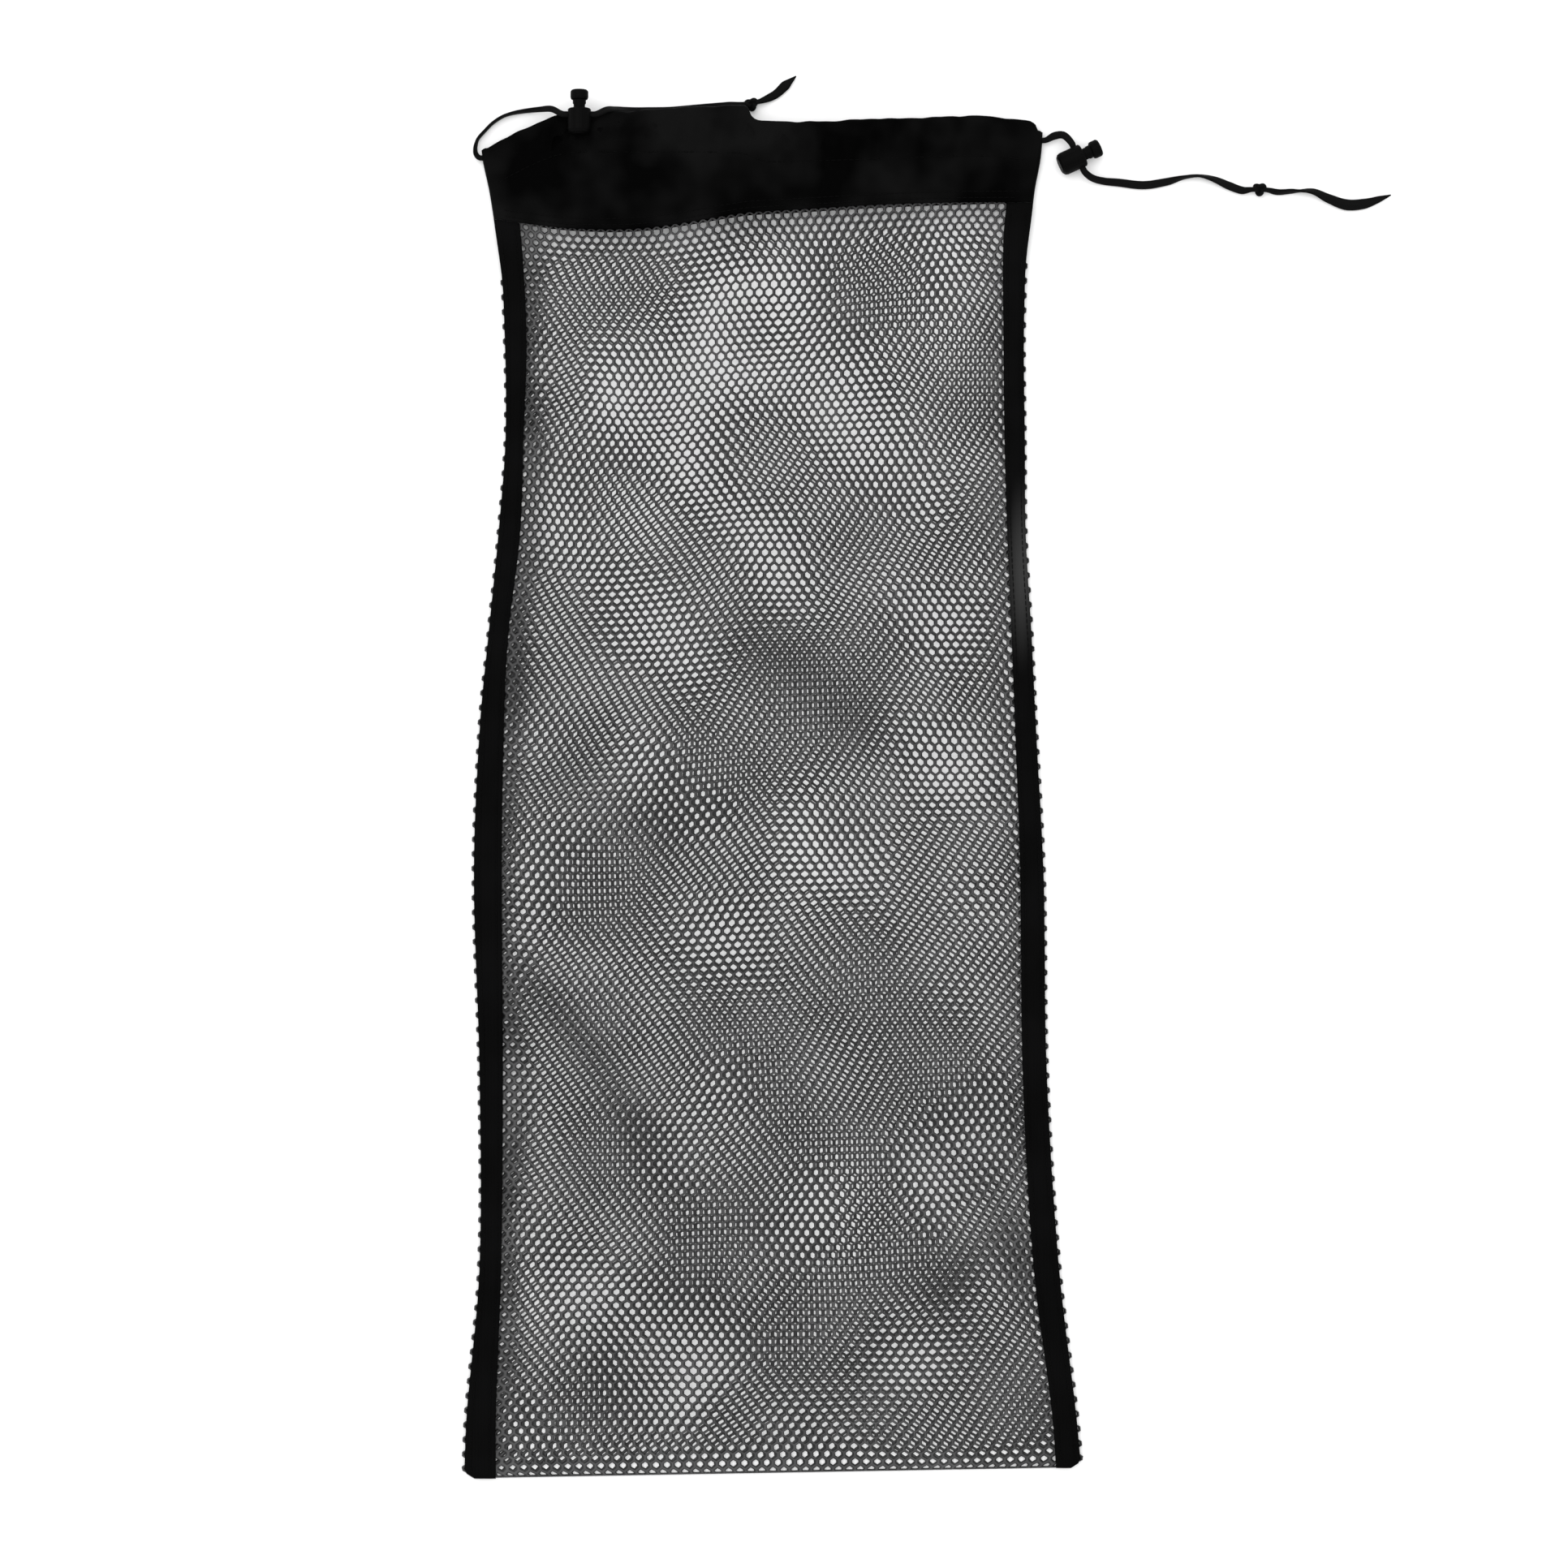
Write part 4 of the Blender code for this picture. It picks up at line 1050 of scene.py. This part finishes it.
def plasticMaterial(look):
    made, tree, shader = newMaterial(look["name"])
    coords = tree.nodes.new("ShaderNodeTexCoord")
    grain = addGroup(tree, fibre, coords.outputs["Object"], Scale=look["grain"])
    scuff = noise(tree, coords.outputs["Object"], look["scuff"], 4.0)
    colour = mixColours(tree, scuff, (*look["dark"], 1.0), (*look["light"], 1.0))
    tree.links.new(colour, shader.inputs["Base Color"])
    tree.links.new(mapRange(tree, scuff, toEnds=look["roughness"]), shader.inputs["Roughness"])
    addBump(tree, shader, grain.outputs["Height"], look)
    shader.inputs["Specular IOR Level"].default_value = look["specular"]
    return made


mouldedPlastic = plasticMaterial(plasticLook)
for side in ("left", "right"):
    for node in ("cord_lock_" + side, "lock_button_" + side):
        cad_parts[node].material_slots[0].material = mouldedPlastic

# Floor and light

stageLook = {
    "floorSize": 4.0, "floorTone": 0.86, "floorRoughness": 0.9, "floorSpecular": 0.1,
    "sky": 1.3, "lamp": 30.0, "lampSize": 2.4, "lampPlace": (-0.55, 0.9, 2.6),
}
far = stageLook["floorSize"]
floor = addMesh("floor", [(-far, -far, 0), (far, -far, 0), (far, far, 0), (-far, far, 0)],
                [[0, 1, 2, 3]], smooth=False)
floorMaterial, _, floorShader = newMaterial("pale_floor")
floorShader.inputs["Base Color"].default_value = (stageLook["floorTone"],) * 3 + (1.0,)
floorShader.inputs["Roughness"].default_value = stageLook["floorRoughness"]
floorShader.inputs["Specular IOR Level"].default_value = stageLook["floorSpecular"]
floor.data.materials.append(floorMaterial)

world = bpy.data.worlds.new("soft_light")
world.use_nodes = True
skyShader = world.node_tree.nodes["Background"]
skyShader.inputs["Color"].default_value = (1.0, 1.0, 1.0, 1.0)
skyShader.inputs["Strength"].default_value = stageLook["sky"]
scene.world = world
lampData = bpy.data.lights.new("soft_box", "AREA")
lampData.energy = stageLook["lamp"]
lampData.size = stageLook["lampSize"]
lamp = bpy.data.objects.new("soft_box", lampData)
lamp.location = stageLook["lampPlace"]
lamp.rotation_euler = (-Vector(stageLook["lampPlace"])).to_track_quat("-Z", "Y").to_euler()
scene.collection.objects.link(lamp)
print("stage lit")
